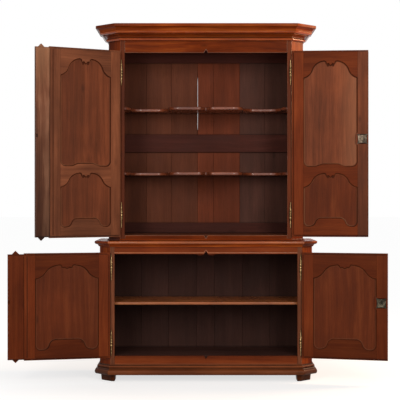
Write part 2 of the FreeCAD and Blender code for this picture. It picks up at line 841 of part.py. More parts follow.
def batten(door):
    """The pointed batten down the front of the pilaster, with a rounded face."""
    half = BATTEN_WIDTH / 2
    back = door.lip_front - PILASTER_PROUD
    front = back - BATTEN_THICKNESS
    low = door.lip_bottom + PILASTER_SHORTFALL
    high = door.lip_top - PILASTER_SHORTFALL
    outline = [
        (-half, low), (0, low - BATTEN_POINT), (half, low),
        (half, high), (0, high + BATTEN_POINT), (-half, high),
    ]
    corners = [Vector(x, front, z) for x, z in outline]
    wire = Part.makePolygon(corners + corners[:1])
    pointed = Part.Face(wire).extrude(Vector(0, BATTEN_THICKNESS, 0))
    edge = back - BATTEN_EDGE
    steps = [
        ((-half, edge),),
        ((0.0, front), (half, edge)),
        ((half, back),),
        ((-half, back),),
    ]
    bottom = low - BATTEN_POINT - OVERRUN
    section = joined_face(chain((-half, back), steps, lambda p: Vector(p[0], p[1], bottom)))
    length = high - low + 2 * (BATTEN_POINT + OVERRUN)
    return pointed.common(section.extrude(Vector(0, 0, length)))


# Locks

def bolt_block(door, level, room, length):
    """The bolt's own box, or with room round it, the channel that it slides in."""
    middle = level + BOLT_RAISE
    back = door.body_back - BOLT_COVER + room
    front = door.body_back - BOLT_COVER - BOLT_THICKNESS - room
    reach = BOLT_HEIGHT / 2 + room
    near = door.free_edge
    return door.block(near, near + length, front, back, middle - reach, middle + reach)


def lock_case(door, level):
    """The lock's body in its pocket, with a hollow-sided plate and a boss on the inner face."""
    body = lock_block(door, level, LOCK_BODY_WIDTH, LOCK_BODY_HEIGHT)
    half_width = LOCK_PLATE_WIDTH / 2
    half_height = LOCK_PLATE_HEIGHT / 2
    middle = door.side * door.lock_middle
    waist = half_width - LOCK_PLATE_HOLLOW
    rise = half_height - LOCK_PLATE_HOLLOW
    steps = [
        ((0.0, rise), (half_width, half_height)),
        ((waist, 0.0), (half_width, -half_height)),
        ((0.0, -rise), (-half_width, -half_height)),
        ((-waist, 0.0), (-half_width, half_height)),
    ]

    def place(pair):
        return Vector(middle + pair[0], door.body_back, level + pair[1])

    plate = joined_face(chain((-half_width, half_height), steps, place))
    plate = plate.extrude(Vector(0, LOCK_PLATE_THICKNESS, 0))
    boss = Part.makeCylinder(
        LOCK_BOSS_RADIUS, LOCK_PLATE_THICKNESS + LOCK_BOSS_HEIGHT,
        Vector(middle, door.body_back, level), Vector(0, 1, 0),
    )
    channel = bolt_block(door, level, BOLT_CLEARANCE, BOLT_LENGTH + BOLT_CLEARANCE)
    return body.fuse(plate).fuse(boss).removeSplitter().cut(channel)


def escutcheon(door, level):
    """The keyhole plate on the front of the lock stile."""
    middle = door.side * door.lock_middle
    low = level - ESCUTCHEON_HEIGHT / 2
    steps = scaled(ESCUTCHEON_SHARES, ESCUTCHEON_WIDTH / 2, ESCUTCHEON_HEIGHT)
    front = door.lip_front - ESCUTCHEON_THICKNESS
    edges = chain((0.0, ESCUTCHEON_HEIGHT), steps, lambda p: Vector(middle + p[0], front, low + p[1]))
    edges += chain((0.0, ESCUTCHEON_HEIGHT), steps, lambda p: Vector(middle - p[0], front, low + p[1]))
    plate = joined_face(edges).extrude(Vector(0, ESCUTCHEON_THICKNESS, 0))
    eye = Part.makeCylinder(
        KEYHOLE_RADIUS, ESCUTCHEON_THICKNESS, Vector(middle, front, level), Vector(0, 1, 0)
    )
    half = KEYHOLE_SLOT_WIDTH / 2
    slot = box(
        middle - half, middle + half, front, door.lip_front, level - KEYHOLE_SLOT_LENGTH, level
    )
    return plate.cut(eye.fuse(slot))


# The whole cupboard

def build_lower_case():
    save("feet", feet())
    save("base_moulding", moulding(LOWER.outline(), BASE_SHARES, BASE_PROJECTION, BASE_HEIGHT, LOWER.bottom))
    save("lower_sides", sides(LOWER))
    save("lower_corner_posts", corner_posts(LOWER, (LOWER_LEFT, LOWER_RIGHT)))
    save("lower_bottom_board", [floor_board(LOWER)])
    save("lower_bottom_rail", [floor_rail(LOWER)])
    save("lower_top_rail", [bowed_head_rail(LOWER)])
    save("lower_top_board", [prism(LOWER.outline(), LOWER.top, UPPER.bottom)])
    save("lower_back_boards", back_boards(LOWER))
    save("lower_shelf", [straight_shelf(LOWER, LOWER_SHELF_LEVEL)])
    waist = moulding(
        LOWER.outline(), WAIST_SHARES, WAIST_PROJECTION, WAIST_HEIGHT, UPPER.bottom - WAIST_HEIGHT
    )
    retainer = moulding(
        UPPER.outline(), RETAINER_SHARES, RETAINER_PROJECTION, RETAINER_HEIGHT, UPPER.bottom
    )
    save("waist_mouldings", waist + retainer)


def build_upper_case():
    save("upper_sides", sides(UPPER))
    save("upper_corner_posts", corner_posts(UPPER, (UPPER_LEFT, UPPER_RIGHT)))
    save("upper_bottom_board", [floor_board(UPPER)])
    save("upper_bottom_rail", [floor_rail(UPPER)])
    save("upper_frieze", [head_rail(UPPER)])
    top = UPPER.top + UPPER_TOP_THICKNESS
    save("upper_top_board", [prism(UPPER.outline(), UPPER.top, top)])
    cornice = moulding(
        UPPER.outline(), CORNICE_SHARES, CORNICE_PROJECTION, CORNICE_HEIGHT, top - CORNICE_HEIGHT
    )
    save("cornice", cornice)
    save("upper_back_boards", back_boards(UPPER))
    save("upper_back_rails", upper_back_rails())
    save("upper_high_shelf", [wavy_shelf(UPPER, HIGH_SHELF_LEVEL)])
    save("upper_low_shelf", [wavy_shelf(UPPER, LOW_SHELF_LEVEL)])
    carried = ledgers(UPPER, HIGH_SHELF_LEVEL) + ledgers(UPPER, LOW_SHELF_LEVEL)
    save("shelf_ledgers", carried + ledgers(LOWER, LOWER_SHELF_LEVEL))


def build_door(name, door, panels, rail_names, panel_names, lock_level):
    """All the pieces of one door, saved as they stand with the door open."""
    has_lock = door.side > 0

    def keep(piece_name, solids):
        save(name + "_" + piece_name, [door.opened(solid) for solid in solids])

    pocket_level = lock_level if has_lock else None
    hinge_stile, free_stile, rails = door_frame(door, panels, pocket_level)
    keep("hinge_stile", [hinge_stile])
    keep("lock_stile" if has_lock else "meeting_stile", [free_stile])
    for rail_name, rail in zip(rail_names, rails):
        keep(rail_name, [rail])
    for panel_name, panel in zip(panel_names, panels):
        keep(panel_name, [panel_solid(door, panel, pocket_level)])
    keep("door_hinge_halves", [door_hinge_half(door, level) for level in door.hinge_levels])
    if has_lock:
        keep("lock_case", [lock_case(door, lock_level)])
        keep("lock_bolt", [bolt_block(door, lock_level, 0.0, BOLT_LENGTH)])
        keep("escutcheon", [escutcheon(door, lock_level)])
    else:
        keep("pilaster", [pilaster(door, lock_level), batten(door)])


def build_doors():
    upper_rails = ("bottom_rail", "middle_rail", "top_rail")
    upper_names = ("short_panel", "tall_panel")
    for name, door in (("upper_left", UPPER_LEFT), ("upper_right", UPPER_RIGHT)):
        build_door(name, door, upper_panels(door), upper_rails, upper_names, UPPER_LOCK_LEVEL)
    for name, door in (("lower_left", LOWER_LEFT), ("lower_right", LOWER_RIGHT)):
        build_door(name, door, lower_panels(door), ("bottom_rail", "top_rail"), ("panel",), LOWER_LOCK_LEVEL)
    halves = []
    for door in (UPPER_LEFT, UPPER_RIGHT, LOWER_LEFT, LOWER_RIGHT):
        halves += [case_hinge_half(door, level) for level in door.hinge_levels]
    save("case_hinge_halves", halves)


def main():
    os.makedirs("parts", exist_ok=True)
    build_lower_case()
    build_upper_case()
    build_doors()


main()
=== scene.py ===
import json
import math
from collections import namedtuple

import bmesh
import bpy
import numpy as np
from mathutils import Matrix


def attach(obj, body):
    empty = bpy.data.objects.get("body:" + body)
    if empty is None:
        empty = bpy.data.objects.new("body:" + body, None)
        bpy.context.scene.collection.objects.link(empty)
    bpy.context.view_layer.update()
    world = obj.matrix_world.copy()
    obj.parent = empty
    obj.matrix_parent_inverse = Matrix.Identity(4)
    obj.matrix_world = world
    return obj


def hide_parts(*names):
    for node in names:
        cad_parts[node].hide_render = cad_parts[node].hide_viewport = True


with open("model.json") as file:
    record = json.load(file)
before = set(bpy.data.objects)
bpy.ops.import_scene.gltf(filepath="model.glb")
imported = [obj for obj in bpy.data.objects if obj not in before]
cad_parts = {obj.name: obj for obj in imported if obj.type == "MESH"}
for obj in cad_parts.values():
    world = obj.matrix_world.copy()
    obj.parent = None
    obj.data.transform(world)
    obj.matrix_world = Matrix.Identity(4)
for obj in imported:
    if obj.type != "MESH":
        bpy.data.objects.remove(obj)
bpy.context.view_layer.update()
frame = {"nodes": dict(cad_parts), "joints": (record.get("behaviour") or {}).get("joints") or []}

# A two-stage cupboard of stained and polished wood, with canted corners and its four doors open.
# Sizes are in millimetres until a piece is made. +X is right, the front faces -Y and +Z is up.

MM = 0.001
SEED = 11
chance = np.random.default_rng(SEED)
FORWARD = (0, -1, 0)
BACKWARD = (0, 1, 0)
UPWARD = (0, 0, 1)
INWARD = "inward"

# Plan and mouldings, as in the part: profiles are shares of a moulding's projection and height
UPPER_CANT = 84.0
LOWER_CANT = 75.0
POST_THICKNESS = 28.0
RETAINER_PROJECTION = 12.0
CANTED_RUNS = (1, 3)
ARC_POINTS = 10
CORNICE_SHARES = (
    ((0.08, 0.0),),
    ((0.18, 0.085), (0.08, 0.17)),
    ((0.10, 0.27),),
    ((0.20, 0.34), (0.42, 0.36)),
    ((0.42, 0.42),),
    ((0.60, 0.45), (0.68, 0.57)),
    ((0.76, 0.73), (0.95, 0.82)),
    ((1.0, 0.82),),
    ((1.0, 1.0),),
)
BASE_SHARES = (
    ((0.80, 0.0),),
    ((1.0, 0.24), (0.80, 0.48)),
    ((0.56, 0.54), (0.40, 0.64)),
    ((0.30, 0.64),),
    ((0.50, 0.77), (0.30, 0.90)),
    ((0.12, 0.90),),
    ((0.12, 1.0),),
)
WAIST_SHARES = (
    ((0.20, 0.0),),
    ((0.34, 0.28), (0.70, 0.45)),
    ((0.84, 0.45),),
    ((0.84, 0.55),),
    ((1.0, 0.77), (0.84, 1.0)),
)
RETAINER_SHARES = (
    ((1.0, 0.0),),
    ((1.0, 0.30),),
    ((0.42, 0.55), (0.15, 1.0)),
)

# Where a moulding has its rings, and how its ends and sharp corners are cut back
MITRE_EASE = 1.0
MITRE_RUN = 2.5
RING_SHARES = (0.25, 0.5, 0.75)
CORNER_REACHES = np.array([-5.0, -1.6, 1.6, 5.0])
CORNER_RUN_SHARES = np.array([0.4, 0.2, 0.2, 0.4])
CORNER_RUB_SHARES = np.array([0, 1, 1, 0])
CORNER_FIRST = np.array([True, False, False, False])

# Tone: 0.5 is the plain colour of a wood, and above 1 it is rubbed towards bare wood, which also paints
# highlights. Cants are painted darker as shade, the base darker towards its foot as painted shade, and the
# waist paler low on its nose as a painted highlight.
PLAIN_TONE = 0.5
PLAIN_TONES = (0.4, 0.6)
CANT_SHADE_TONE = -0.05
BASE_TONE = 0.7
BASE_SHADE_FALL = 0.9
WAIST_TONE = 0.75
WAIST_HIGHLIGHT_FALL = -0.3
EDGE_RUB = 0.2
# Rounds are painted paler as wear and a painted highlight, hollows darker as dark polish and painted shade
ROUND_RUB_AND_HIGHLIGHT = 0.45
HOLLOW_POLISH_AND_SHADE = 1.0
HOLLOW_TURN = math.radians(60)
FLAT_TURN = math.radians(3)

# Shelves
UPPER_SHELF_WAVE = 205.0
WAVE_MIDDLE_SHARE = 0.34
WAVE_SHARES = (
    ((0.036, 0.14),),
    ((0.052, 0.04), (0.08, 0.0)),
    ((0.30, 0.0),),
    ((0.37, 0.13), (0.405, 0.5)),
    ((0.44, 0.87), (0.51, 1.0)),
    ((0.70, 1.0),),
    ((0.775, 0.87), (0.81, 0.5)),
    ((0.845, 0.13), (0.92, 0.0)),
)
SHELF_STATIONS = 260
SHELF_NOSE = 8.0
SHELF_WEAR = 1.2
SHELF_WEAR_WAVES = 9
NOSE_FULLNESS = 0.75
NOSE_POINTS = 9
# How pale the lower shelf's nose is at its front: a painted highlight, with wear
NOSE_HIGHLIGHT_TONE = 0.95

# Back boards
BACK_JOINT_SHARES = (-0.66, -0.38, -0.09, 0.09, 0.38, 0.66)
BACK_JOINT = 1.0
BACK_JOINT_WANDER = 0.5
BACK_JOINT_WAVES = 5
BACK_TONGUE = 5.0
BACK_TONGUE_SHARES = (0.4, 0.7)
CRACK_JOINT = 2
CRACK_WIDTH = 3.0
CRACK_FOOT = 1660.0
CRACK_HEAD = 2125.0
CRACK_TAPER = 60.0
BOARD_STATIONS = 60
BOARD_EASE = 0.7
BACK_EASE = 4.0
WANDER_LENGTH = 600.0
WANDER_RATES = (0.6, 1.4)

# Turned hinges
HINGE_GAP = 0.5
BEAD_RADIUS = 8.0
BEAD_LENGTH = 18.0
NECK_RADIUS = 4.6
SPIRE_LENGTH = 59.0
SPIRE_SHARES = (
    (1.0, 0.0), (1.22, 0.03), (1.22, 0.06), (0.86, 0.10), (0.92, 0.22), (0.84, 0.40), (0.66, 0.62),
    (0.46, 0.80), (0.40, 0.88), (0.52, 0.92), (0.54, 0.955), (0.36, 0.985), (0.06, 1.0),
)
TURN_POINTS = 24
DOOR_BEADS = 1
CASE_BEADS = 2
LEAF_THICKNESS = 3.0
LEAF_HEIGHT = 36.0
LEAF_INSET = 3.0
LEAF_DEPTH = 26.0

# Locks
LOCK_PLATE_THICKNESS = 3.0
LOCK_PLATE_HOLLOW = 8.0
LOCK_PLATE_SHARES = (
    (1.0, 0.0), (1.0, 0.5), (0.985, 0.85), (0.95, 1.0), (0.90, 0.92), (0.86, 0.80), (0.5, 0.82), (0.05, 0.85),
)
LOCK_BODY_WIDTH = 46.0
LOCK_BODY_HEIGHT = 50.0
BOSS_RADIUS = 13.0
BOSS_HEIGHT = 7.0
BOSS_SHARES = (
    (1.0, 0.0), (1.0, 0.45), (0.9, 0.82), (0.74, 1.0), (0.56, 0.95), (0.44, 0.60), (0.20, 0.52), (0.14, 0.9),
    (0.04, 0.92),
)
SCREW_RADIUS = 3.6
SCREW_HEIGHT = 1.6
SCREW_INSET = 10.0
SCREW_SEAT_SHARE = 0.8
SCREW_SHARES = ((1.0, 0.0), (0.96, 0.45), (0.7, 0.8), (0.3, 0.97), (0.05, 1.0))

# Arrises and flat faces
SMALL_EDGE = 1.2
DOOR_EDGE = 1.0
CASE_EDGE = 3.5
POST_EDGE = 1.5
METAL_EDGE = 0.7
EDGE_STEPS = 2
ROUNDED_ANGLE = math.radians(43)
SHARP_ANGLE = math.radians(38)
FLAT_ANGLE = math.radians(0.6)
FLAT_AREA = 2000.0
SQUARE_ON = 0.9
SAME_PLACE = 0.01
WORN_RADIUS = 8.0
WORN_INSET = 7.4
WORN_POINTS = 12
# The arris bead is painted pale: wear, and a painted highlight along the edge
WORN_HIGHLIGHT_TONE = 1.15

# How pale some boards are in their middle, where it isn't left to chance. Some of these are painted light and
# shade: the sides are painted darker where the side lamp falls on them, and the back rails paler where the
# frieze shades them.
BOARD_TONES = {
    "upper_sides": 0.25,
    "upper_corner_posts": -0.05,
    "lower_sides": 0.25,
    "upper_frieze": 0.12,
    "upper_bottom_rail": 0.0,
    "upper_back_rails": 0.60,
    "lower_top_rail": 0.95,
    "lower_bottom_rail": 1.24,
    "upper_left_hinge_stile": 0.68,
    "upper_left_meeting_stile": 0.22,
    "upper_left_pilaster": 0.52,
    "upper_left_middle_rail": 0.85,
    "upper_left_bottom_rail": 0.20,
    "upper_left_tall_panel": 0.62,
    "upper_left_short_panel": 0.54,
    "upper_right_hinge_stile": 0.88,
    "upper_right_lock_stile": 0.35,
    "upper_right_top_rail": 0.35,
    "upper_right_middle_rail": 0.33,
    "upper_right_bottom_rail": 0.25,
    "upper_right_tall_panel": 0.92,
    "upper_right_short_panel": 0.64,
    "lower_left_pilaster": 0.30,
    "lower_left_top_rail": -0.12,
    "lower_left_bottom_rail": 0.02,
    "lower_right_lock_stile": 0.15,
    "lower_right_top_rail": -0.17,
    "lower_right_bottom_rail": -0.17,
    "lower_right_panel": 0.35,
}
# How much paler a board is at its right or upper edge than in its middle, and at its head than half way up.
# Most of these are painted light and shade: the corner posts darker on the left and paler on the right, the
# top back rail paler under the frieze's shadow, the panels paler towards one edge and the pilaster paler at
# its head as painted sheen. The lower bottom rail is darker at its top, and two stiles are paler at their
# heads.
TONE_TILTS = {
    "upper_corner_posts": 0.30,
    "upper_back_rails": 0.35,
    "lower_bottom_rail": -0.79,
    "upper_left_tall_panel": -0.35,
    "upper_left_short_panel": -0.20,
    "upper_right_tall_panel": -0.35,
    "upper_right_short_panel": -0.08,
}
TONE_RISES = {
    "upper_left_hinge_stile": 0.31,
    "upper_left_pilaster": 1.0,
    "upper_right_lock_stile": 0.40,
}
# How pale each back board is at its foot and at its head
BACK_TONES = {
    "upper_back_boards": (
        (0.42, 0.45), (0.50, 0.60), (0.55, 0.85), (0.60, 1.0), (0.50, 0.85), (0.65, 0.50), (0.55, 0.35),
    ),
    "lower_back_boards": (
        (0.45, 0.45), (0.55, 0.55), (0.40, 0.40), (0.60, 0.60), (0.50, 0.50), (0.42, 0.42), (0.55, 0.55),
    ),
}

# Panels in the doors, as in the part
PANEL_TONGUE = 10.0
CREST_SHARES = (
    ((0.84, 0.12), (0.70, 0.40)),
    ((0.52, 0.84), (0.28, 1.0)),
    ((0.165, 0.95), (0.15, 0.80)),
    ((0.075, 0.86),),
    ((0.0, 0.72),),
)
LOBE_SHARES = (
    ((0.95, 0.16), (0.76, 0.0)),
    ((0.62, 0.14), (0.54, 0.50)),
    ((0.46, 0.88), (0.34, 1.0)),
    ((0.0, 1.0),),
)
SHALLOW_SHARES = (
    ((0.93, 0.26), (0.80, 0.0)),
    ((0.62, 0.0),),
    ((0.52, 0.06), (0.42, 0.25)),
    ((0.32, 0.44), (0.22, 0.5)),
    ((0.0, 0.5),),
)
EYE_SHARES = (-0.095, 0.095)
PanelShape = namedtuple("PanelShape", "foot side_share foot_rise crest_rise eyes")
PANEL_SHAPES = {
    "short_panel": PanelShape(LOBE_SHARES, 0.55, 54.0, 92.0, EYE_SHARES),
    "tall_panel": PanelShape(SHALLOW_SHARES, 1.0, 34.0, 112.0, EYE_SHARES),
    "panel": PanelShape(LOBE_SHARES, 0.55, 68.0, 88.0, ()),
}

# Wax and painted shade round the panels, in the carved eyes and in the saw cuts beside the meeting edges; the
# line round a panel is painted paler on one side and the foot
WAX_WIDTH = 11.0
WAX_HEIGHT = 6.0
WAX_SHARES = np.array([(1.0, -0.1), (0.7, 0.06), (0.35, 0.2), (0.0, 1.0), (-0.1, 1.0), (-0.1, -0.1)])
WAX_TONES = np.array([1.5, 1.1, 0.6, 0.2, 0.2, 0.2])
WAX_PALE_TONE = 1.3
WAX_PALE_SHARES = {"upper": 0.75, "lower": 0.25}
WAX_FOOT_SHARE = 0.7
DROP_RADIUS = 9.0
DROP_HEIGHT = 1.5
DROP_SHARES = ((1.0, 0.0), (0.92, 0.5), (0.7, 0.85), (0.35, 1.0), (0.05, 1.0))
DROP_LEVEL_SHARE = 0.73
KERF_INSET = 20.0
KERF_WIDTH = 5.0
KERF_PROUD = 0.3
KERF_WAX_AND_SHADE_TONE = 0.1

# Where boards were sawn from the tree: across, through and along it
TREE_RANGES = ((-70.0, 70.0), (30.0, 130.0), (0.0, 30000.0))

# Figure of the wood: each kind of streak has a width, a length and a noise detail
BROAD_STREAKS = (38.0, 900.0, 2.0)
FINE_STREAKS = (7.0, 260.0, 3.0)
PORES = (3.0, 60.0, 1.0)
CLOUDS = (90.0, 150.0, 3.0)
BLOTCHES = (300.0, 420.0, 2.0)
DRIFT = 80.0
DRIFT_DETAIL = 1.0
DRIFT_WAVES_PER_METRE = (2.2, 2.2, 1.2)
NOISE_MIDDLE = (0.5, 0.5, 0.5)
RING = 26.0
RING_WAVER = 0.8
RING_AT_SCALE_ONE = math.pi / 10
KNOT_SPACING = 150.0
KNOT_STRETCH = (1.0, 1.0, 0.45)

# How much broad streaks, fine streaks, clouds and rings add to the figure, and where its three colours lie
FIGURE_START = -0.32
FIGURE_SHARES = (0.75, 0.45, 0.35, 0.07)
FIGURE_MIDDLE = 0.5
COLOUR_PLACES = (0.20, 0.50, 0.80)

# Sockets of a node that mixes two colours
MIX_SHARE, MIX_FIRST, MIX_SECOND, MIX_RESULT = 0, 6, 7, 2

# From which value to which each pattern works, and what it makes of the wood
PORE_RANGE = {"From Min": 0.30, "From Max": 0.46, "To Min": 0.85, "To Max": 1.0}
BLOTCH_RANGE = {"From Min": 0.3, "From Max": 0.7, "To Min": 0.80, "To Max": 1.18}
KNOT_RANGE = {"From Min": 0.03, "From Max": 0.11, "To Min": 0.62, "To Max": 1.0}
TONE_RANGE = {"To Min": 0.70, "To Max": 1.30}
# Above a tone of 1 the wood turns towards pale bald wood: wear, and also a painted highlight
BALD_AND_HIGHLIGHT_RANGE = {"From Min": 1.0, "From Max": 2.0, "To Max": 0.8}
BALD_AND_HIGHLIT_WOOD = "#c08a66"
# Painted shade with wax in corners: how the ambient occlusion mask darkens the wood
WAX_AND_SHADE_RANGE = {"From Min": 0.45, "From Max": 0.88, "To Max": 1.0}
WAX_AND_SHADE_SAMPLES = 6
POLISH_RANGE = {"From Min": 0.3, "From Max": 0.7}
POLISH_SPREAD = 0.06
BLOTCH_RELIEF = 3.0
WOOD_RELIEF = 1.2
TARNISH_RANGE = {"From Min": 0.36, "From Max": 0.66}
TARNISH_DETAIL = 3.0
TARNISH_DULLING = 0.16
METAL_RELIEF = 0.8
RELIEF_STRENGTH = 0.3

# Stage, in metres
FLOOR_REACH = 60.0
FLOOR_COLOUR = "#b4b4b4"
FLOOR_ROUGH = 0.9
FLOOR_GLOW = {"From Min": 0.9, "From Max": 2.2, "To Min": 0.68, "To Max": 0.84}
WHITE = (1, 1, 1, 1)
AMBIENT = 0.30
Lamp = namedtuple("Lamp", "name place aim size power colour")
LAMPS = (
    Lamp("left", (-2.0, -5.2, 2.5), (0.0, -0.3, 1.3), (1.2, 2.4), 96.0, "#fff6ec"),
    Lamp("right", (2.0, -5.2, 2.5), (0.0, -0.3, 1.3), (1.2, 2.4), 104.0, "#fff6ec"),
    Lamp("side", (3.2, 0.35, 2.4), (0.6, -0.2, 2.2), (0.8, 1.2), 115.0, "#ffd0a0"),
)
CAMERA_PLACE = (-0.040, -8.26, 1.246)
CAMERA_SENSOR = 36.0
CAMERA_LENS = 107.8
CAMERA_SHIFT = -0.0125
LEVEL_VIEW = (math.radians(90), 0, 0)


# Surfaces

Shell = namedtuple("Shell", "points quads caps grain tone")


def swept(rings, grain, tone, loop=False):
    """A closed skin through rings of points, rows x columns x 3: quads join each ring to the next and round
    to its own first column. The first and last rings are filled, or joined to each other in a loop."""
    rows, columns, _ = rings.shape
    row = np.arange(rows if loop else rows - 1)[:, None]
    next_row = (row + 1) % rows * columns
    row = row * columns
    here = np.arange(columns)[None, :]
    after = (here + 1) % columns
    quads = np.stack([row + here, row + after, next_row + after, next_row + here], axis=-1)
    caps = [] if loop else [np.arange(columns), np.arange(columns) + (rows - 1) * columns]
    return Shell(rings.reshape(-1, 3), quads.reshape(-1, 4), caps, grain.reshape(-1, 3), tone)


def arc(start, through, end):
    """Points after start on the circle through three points of the complex plane. The centre follows from w
    = (end - start) / (through - start), and the angle is the one that passes the middle point."""
    w = (end - start) / (through - start)
    centre = start + (through - start) * (w - abs(w) ** 2) / (2j * w.imag)
    whole = np.angle((end - centre) / (start - centre))
    part = np.angle((through - centre) / (start - centre))
    if part * whole < 0 or abs(part) > abs(whole):
        whole -= math.copysign(2 * math.pi, whole)
    turns = np.linspace(0, whole, ARC_POINTS)[1:]
    return centre + (start - centre) * np.exp(1j * turns)


def outline(start, shares, width, height):
    """Points along straight runs and arcs given as shares of a width and a height, as complex numbers."""
    runs = [np.array([start])]
    for step in shares:
        ends = [complex(u * width, w * height) for u, w in step]
        runs.append(np.array(ends) if len(ends) == 1 else arc(runs[-1][-1], *ends))
    return np.concatenate(runs)


def distances(path):
    """How far along a path of complex numbers each of its points lies."""
    return np.concatenate([[0], np.cumsum(abs(np.diff(path)))])


def evenly(path, stations):
    """The points of a path at given distances along it."""
    steps = distances(path)
    return np.interp(stations, steps, path.real) + 1j * np.interp(stations, steps, path.imag)


def places(x, y, z):
    """Points from their three coordinates, each spread over the rows and columns of the others."""
    return np.stack(np.broadcast_arrays(x, y, z), axis=-1)


def circle(points):
    """Angles evenly round a circle."""
    return np.linspace(0, 2 * math.pi, points, endpoint=False)


def turned(shares, radius, length, place=(0, 0, 0)):
    """A surface of revolution: rings of a radius that changes with height, given as shares."""
    table = np.array(shares)
    angle = circle(TURN_POINTS)
    rings = places(
        place[0] + radius * table[:, :1] * np.cos(angle),
        place[1] + radius * table[:, :1] * np.sin(angle),
        place[2] + length * table[:, 1:],
    )
    return swept(rings, rings, PLAIN_TONE)


def slab(low, high):
    """A plain bar: one rectangle carried from its low end to its high end."""
    across = (low[0], high[0], high[0], low[0])
    deep = (low[1], low[1], high[1], high[1])
    rings = places(across, deep, np.array([low[2], high[2]], float)[:, None])
    return swept(rings, rings, PLAIN_TONE)


def wander(length, count, waves):
    """A slow smooth wave from -1 to 1 along a length: a sum of sines with chance phases."""
    place = np.linspace(0, 2 * math.pi, count)
    phases = chance.uniform(0, 2 * math.pi, waves)
    rates = chance.uniform(*WANDER_RATES, waves) * np.arange(1, waves + 1) * length / WANDER_LENGTH
    return np.sin(place[:, None] * rates + phases).mean(axis=1)


def board_start():
    """Where in its tree a board was sawn: across and through are near the heart, along is anywhere."""
    return np.array([chance.uniform(*reach) for reach in TREE_RANGES])


def board_axes(along, turn=0.0):
    """Rows that take a place to across, through and along a board. Turn is how far its door stands open."""
    c, s = math.cos(math.radians(turn)), math.sin(math.radians(turn))
    wide, deep, up = (c, s, 0), (-s, c, 0), (0, 0, 1)
    return np.array({
        "up": (wide, deep, up),
        "level": (up, deep, wide),
        "deep": (up, wide, deep),
        "side": (deep, wide, up),
        "flat": (deep, up, wide),
    }[along])


# Pieces

def read(items, name, width=1, kind=float):
    """One value, or a row of them, for each vertex, face or corner of a mesh."""
    flat = np.empty(len(items) * width, kind)
    items.foreach_get(name, flat)
    return flat.reshape(-1, width) if width > 1 else flat


def face_corners(mesh):
    """The vertex at each corner of each face, face after face."""
    return read(mesh.loops, "vertex_index", kind=np.int32)


def finish_faces(mesh, choice):
    """Gives each face the material of its number in choice."""
    mesh.polygons.foreach_set("material_index", choice.astype(np.int32))


def looking(mesh, way):
    """Which faces look along a direction, or if it is INWARD, from either side towards the middle."""
    normals = read(mesh.polygons, "normal", 3)
    if way is not INWARD:
        return normals @ np.array(way) > SQUARE_ON
    return -normals[:, 0] * np.sign(read(mesh.polygons, "center", 3)[:, 0]) > SQUARE_ON


def node_points(node):
    """The corners of a CAD node."""
    return read(frame["nodes"][node].data.vertices, "co", 3) / MM


def node_box(node):
    """The lowest and highest corners of a CAD node."""
    points = node_points(node)
    return points.min(axis=0), points.max(axis=0)


def rounded(piece, width):
    """Rounds the arrises of a piece with a Bevel that leaves flat faces flat."""
    bevel = piece.modifiers.new("arrises", "BEVEL")
    bevel.width = width * MM
    bevel.segments = EDGE_STEPS
    bevel.limit_method = "ANGLE"
    bevel.angle_limit = ROUNDED_ANGLE
    bevel.use_clamp_overlap = width > SMALL_EDGE
    bevel.harden_normals = True
    bevel.material = len(piece.data.materials) - 1


def dressed(mesh, grain, tone, body, materials, nodes, edge):
    """Makes a mesh a piece that rides on its body in place of CAD nodes. Its grain and tone become
    attributes, and rounded arrises take the last material."""
    mesh.attributes.new("grain", "FLOAT_VECTOR", "POINT").data.foreach_set("vector", (grain * MM).ravel())
    mesh.attributes.new("tone", "FLOAT", "POINT").data.foreach_set("value", tone)
    mesh.shade_smooth()
    piece = bpy.data.objects.new(mesh.name, mesh)
    bpy.context.scene.collection.objects.link(piece)
    for material in materials:
        mesh.materials.append(material)
    if edge:
        rounded(piece, edge)
    else:
        mesh.set_sharp_from_angle(angle=SHARP_ANGLE)
    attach(piece, body)
    if nodes:
        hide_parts(*nodes)
    return mesh


def made(name, shells, body, materials, nodes=(), edge=0.0):
    """Joins shells into one piece with all its faces outwards."""
    starts = np.cumsum([0] + [len(shell.points) for shell in shells])
    faces = []
    for shell, start in zip(shells, starts):
        faces += (shell.quads + start).tolist()
        faces += [(cap + start).tolist() for cap in shell.caps]
    mesh = bpy.data.meshes.new(name)
    mesh.from_pydata(np.concatenate([shell.points for shell in shells]) * MM, [], faces)
    skin = bmesh.new()
    skin.from_mesh(mesh)
    bmesh.ops.recalc_face_normals(skin, faces=skin.faces)
    skin.to_mesh(mesh)
    skin.free()
    grain = np.concatenate([shell.grain for shell in shells])
    tone = np.concatenate([np.full(len(shell.points), shell.tone) for shell in shells])
    return dressed(mesh, grain, tone, body, materials, nodes, edge)


def cad_board(node):
    """A copy of a CAD board's mesh with its corners merged and its flat faces whole."""
    mesh = bpy.data.meshes.new(node + ".board")
    triangles = face_corners(frame["nodes"][node].data).reshape(-1, 3)
    mesh.from_pydata(node_points(node) * MM, [], triangles.tolist())
    skin = bmesh.new()
    skin.from_mesh(mesh)
    bmesh.ops.remove_doubles(skin, verts=skin.verts, dist=SAME_PLACE * MM)
    bmesh.ops.dissolve_limit(skin, angle_limit=FLAT_ANGLE, verts=skin.verts, edges=skin.edges)
    skin.to_mesh(mesh)
    skin.free()
    return mesh


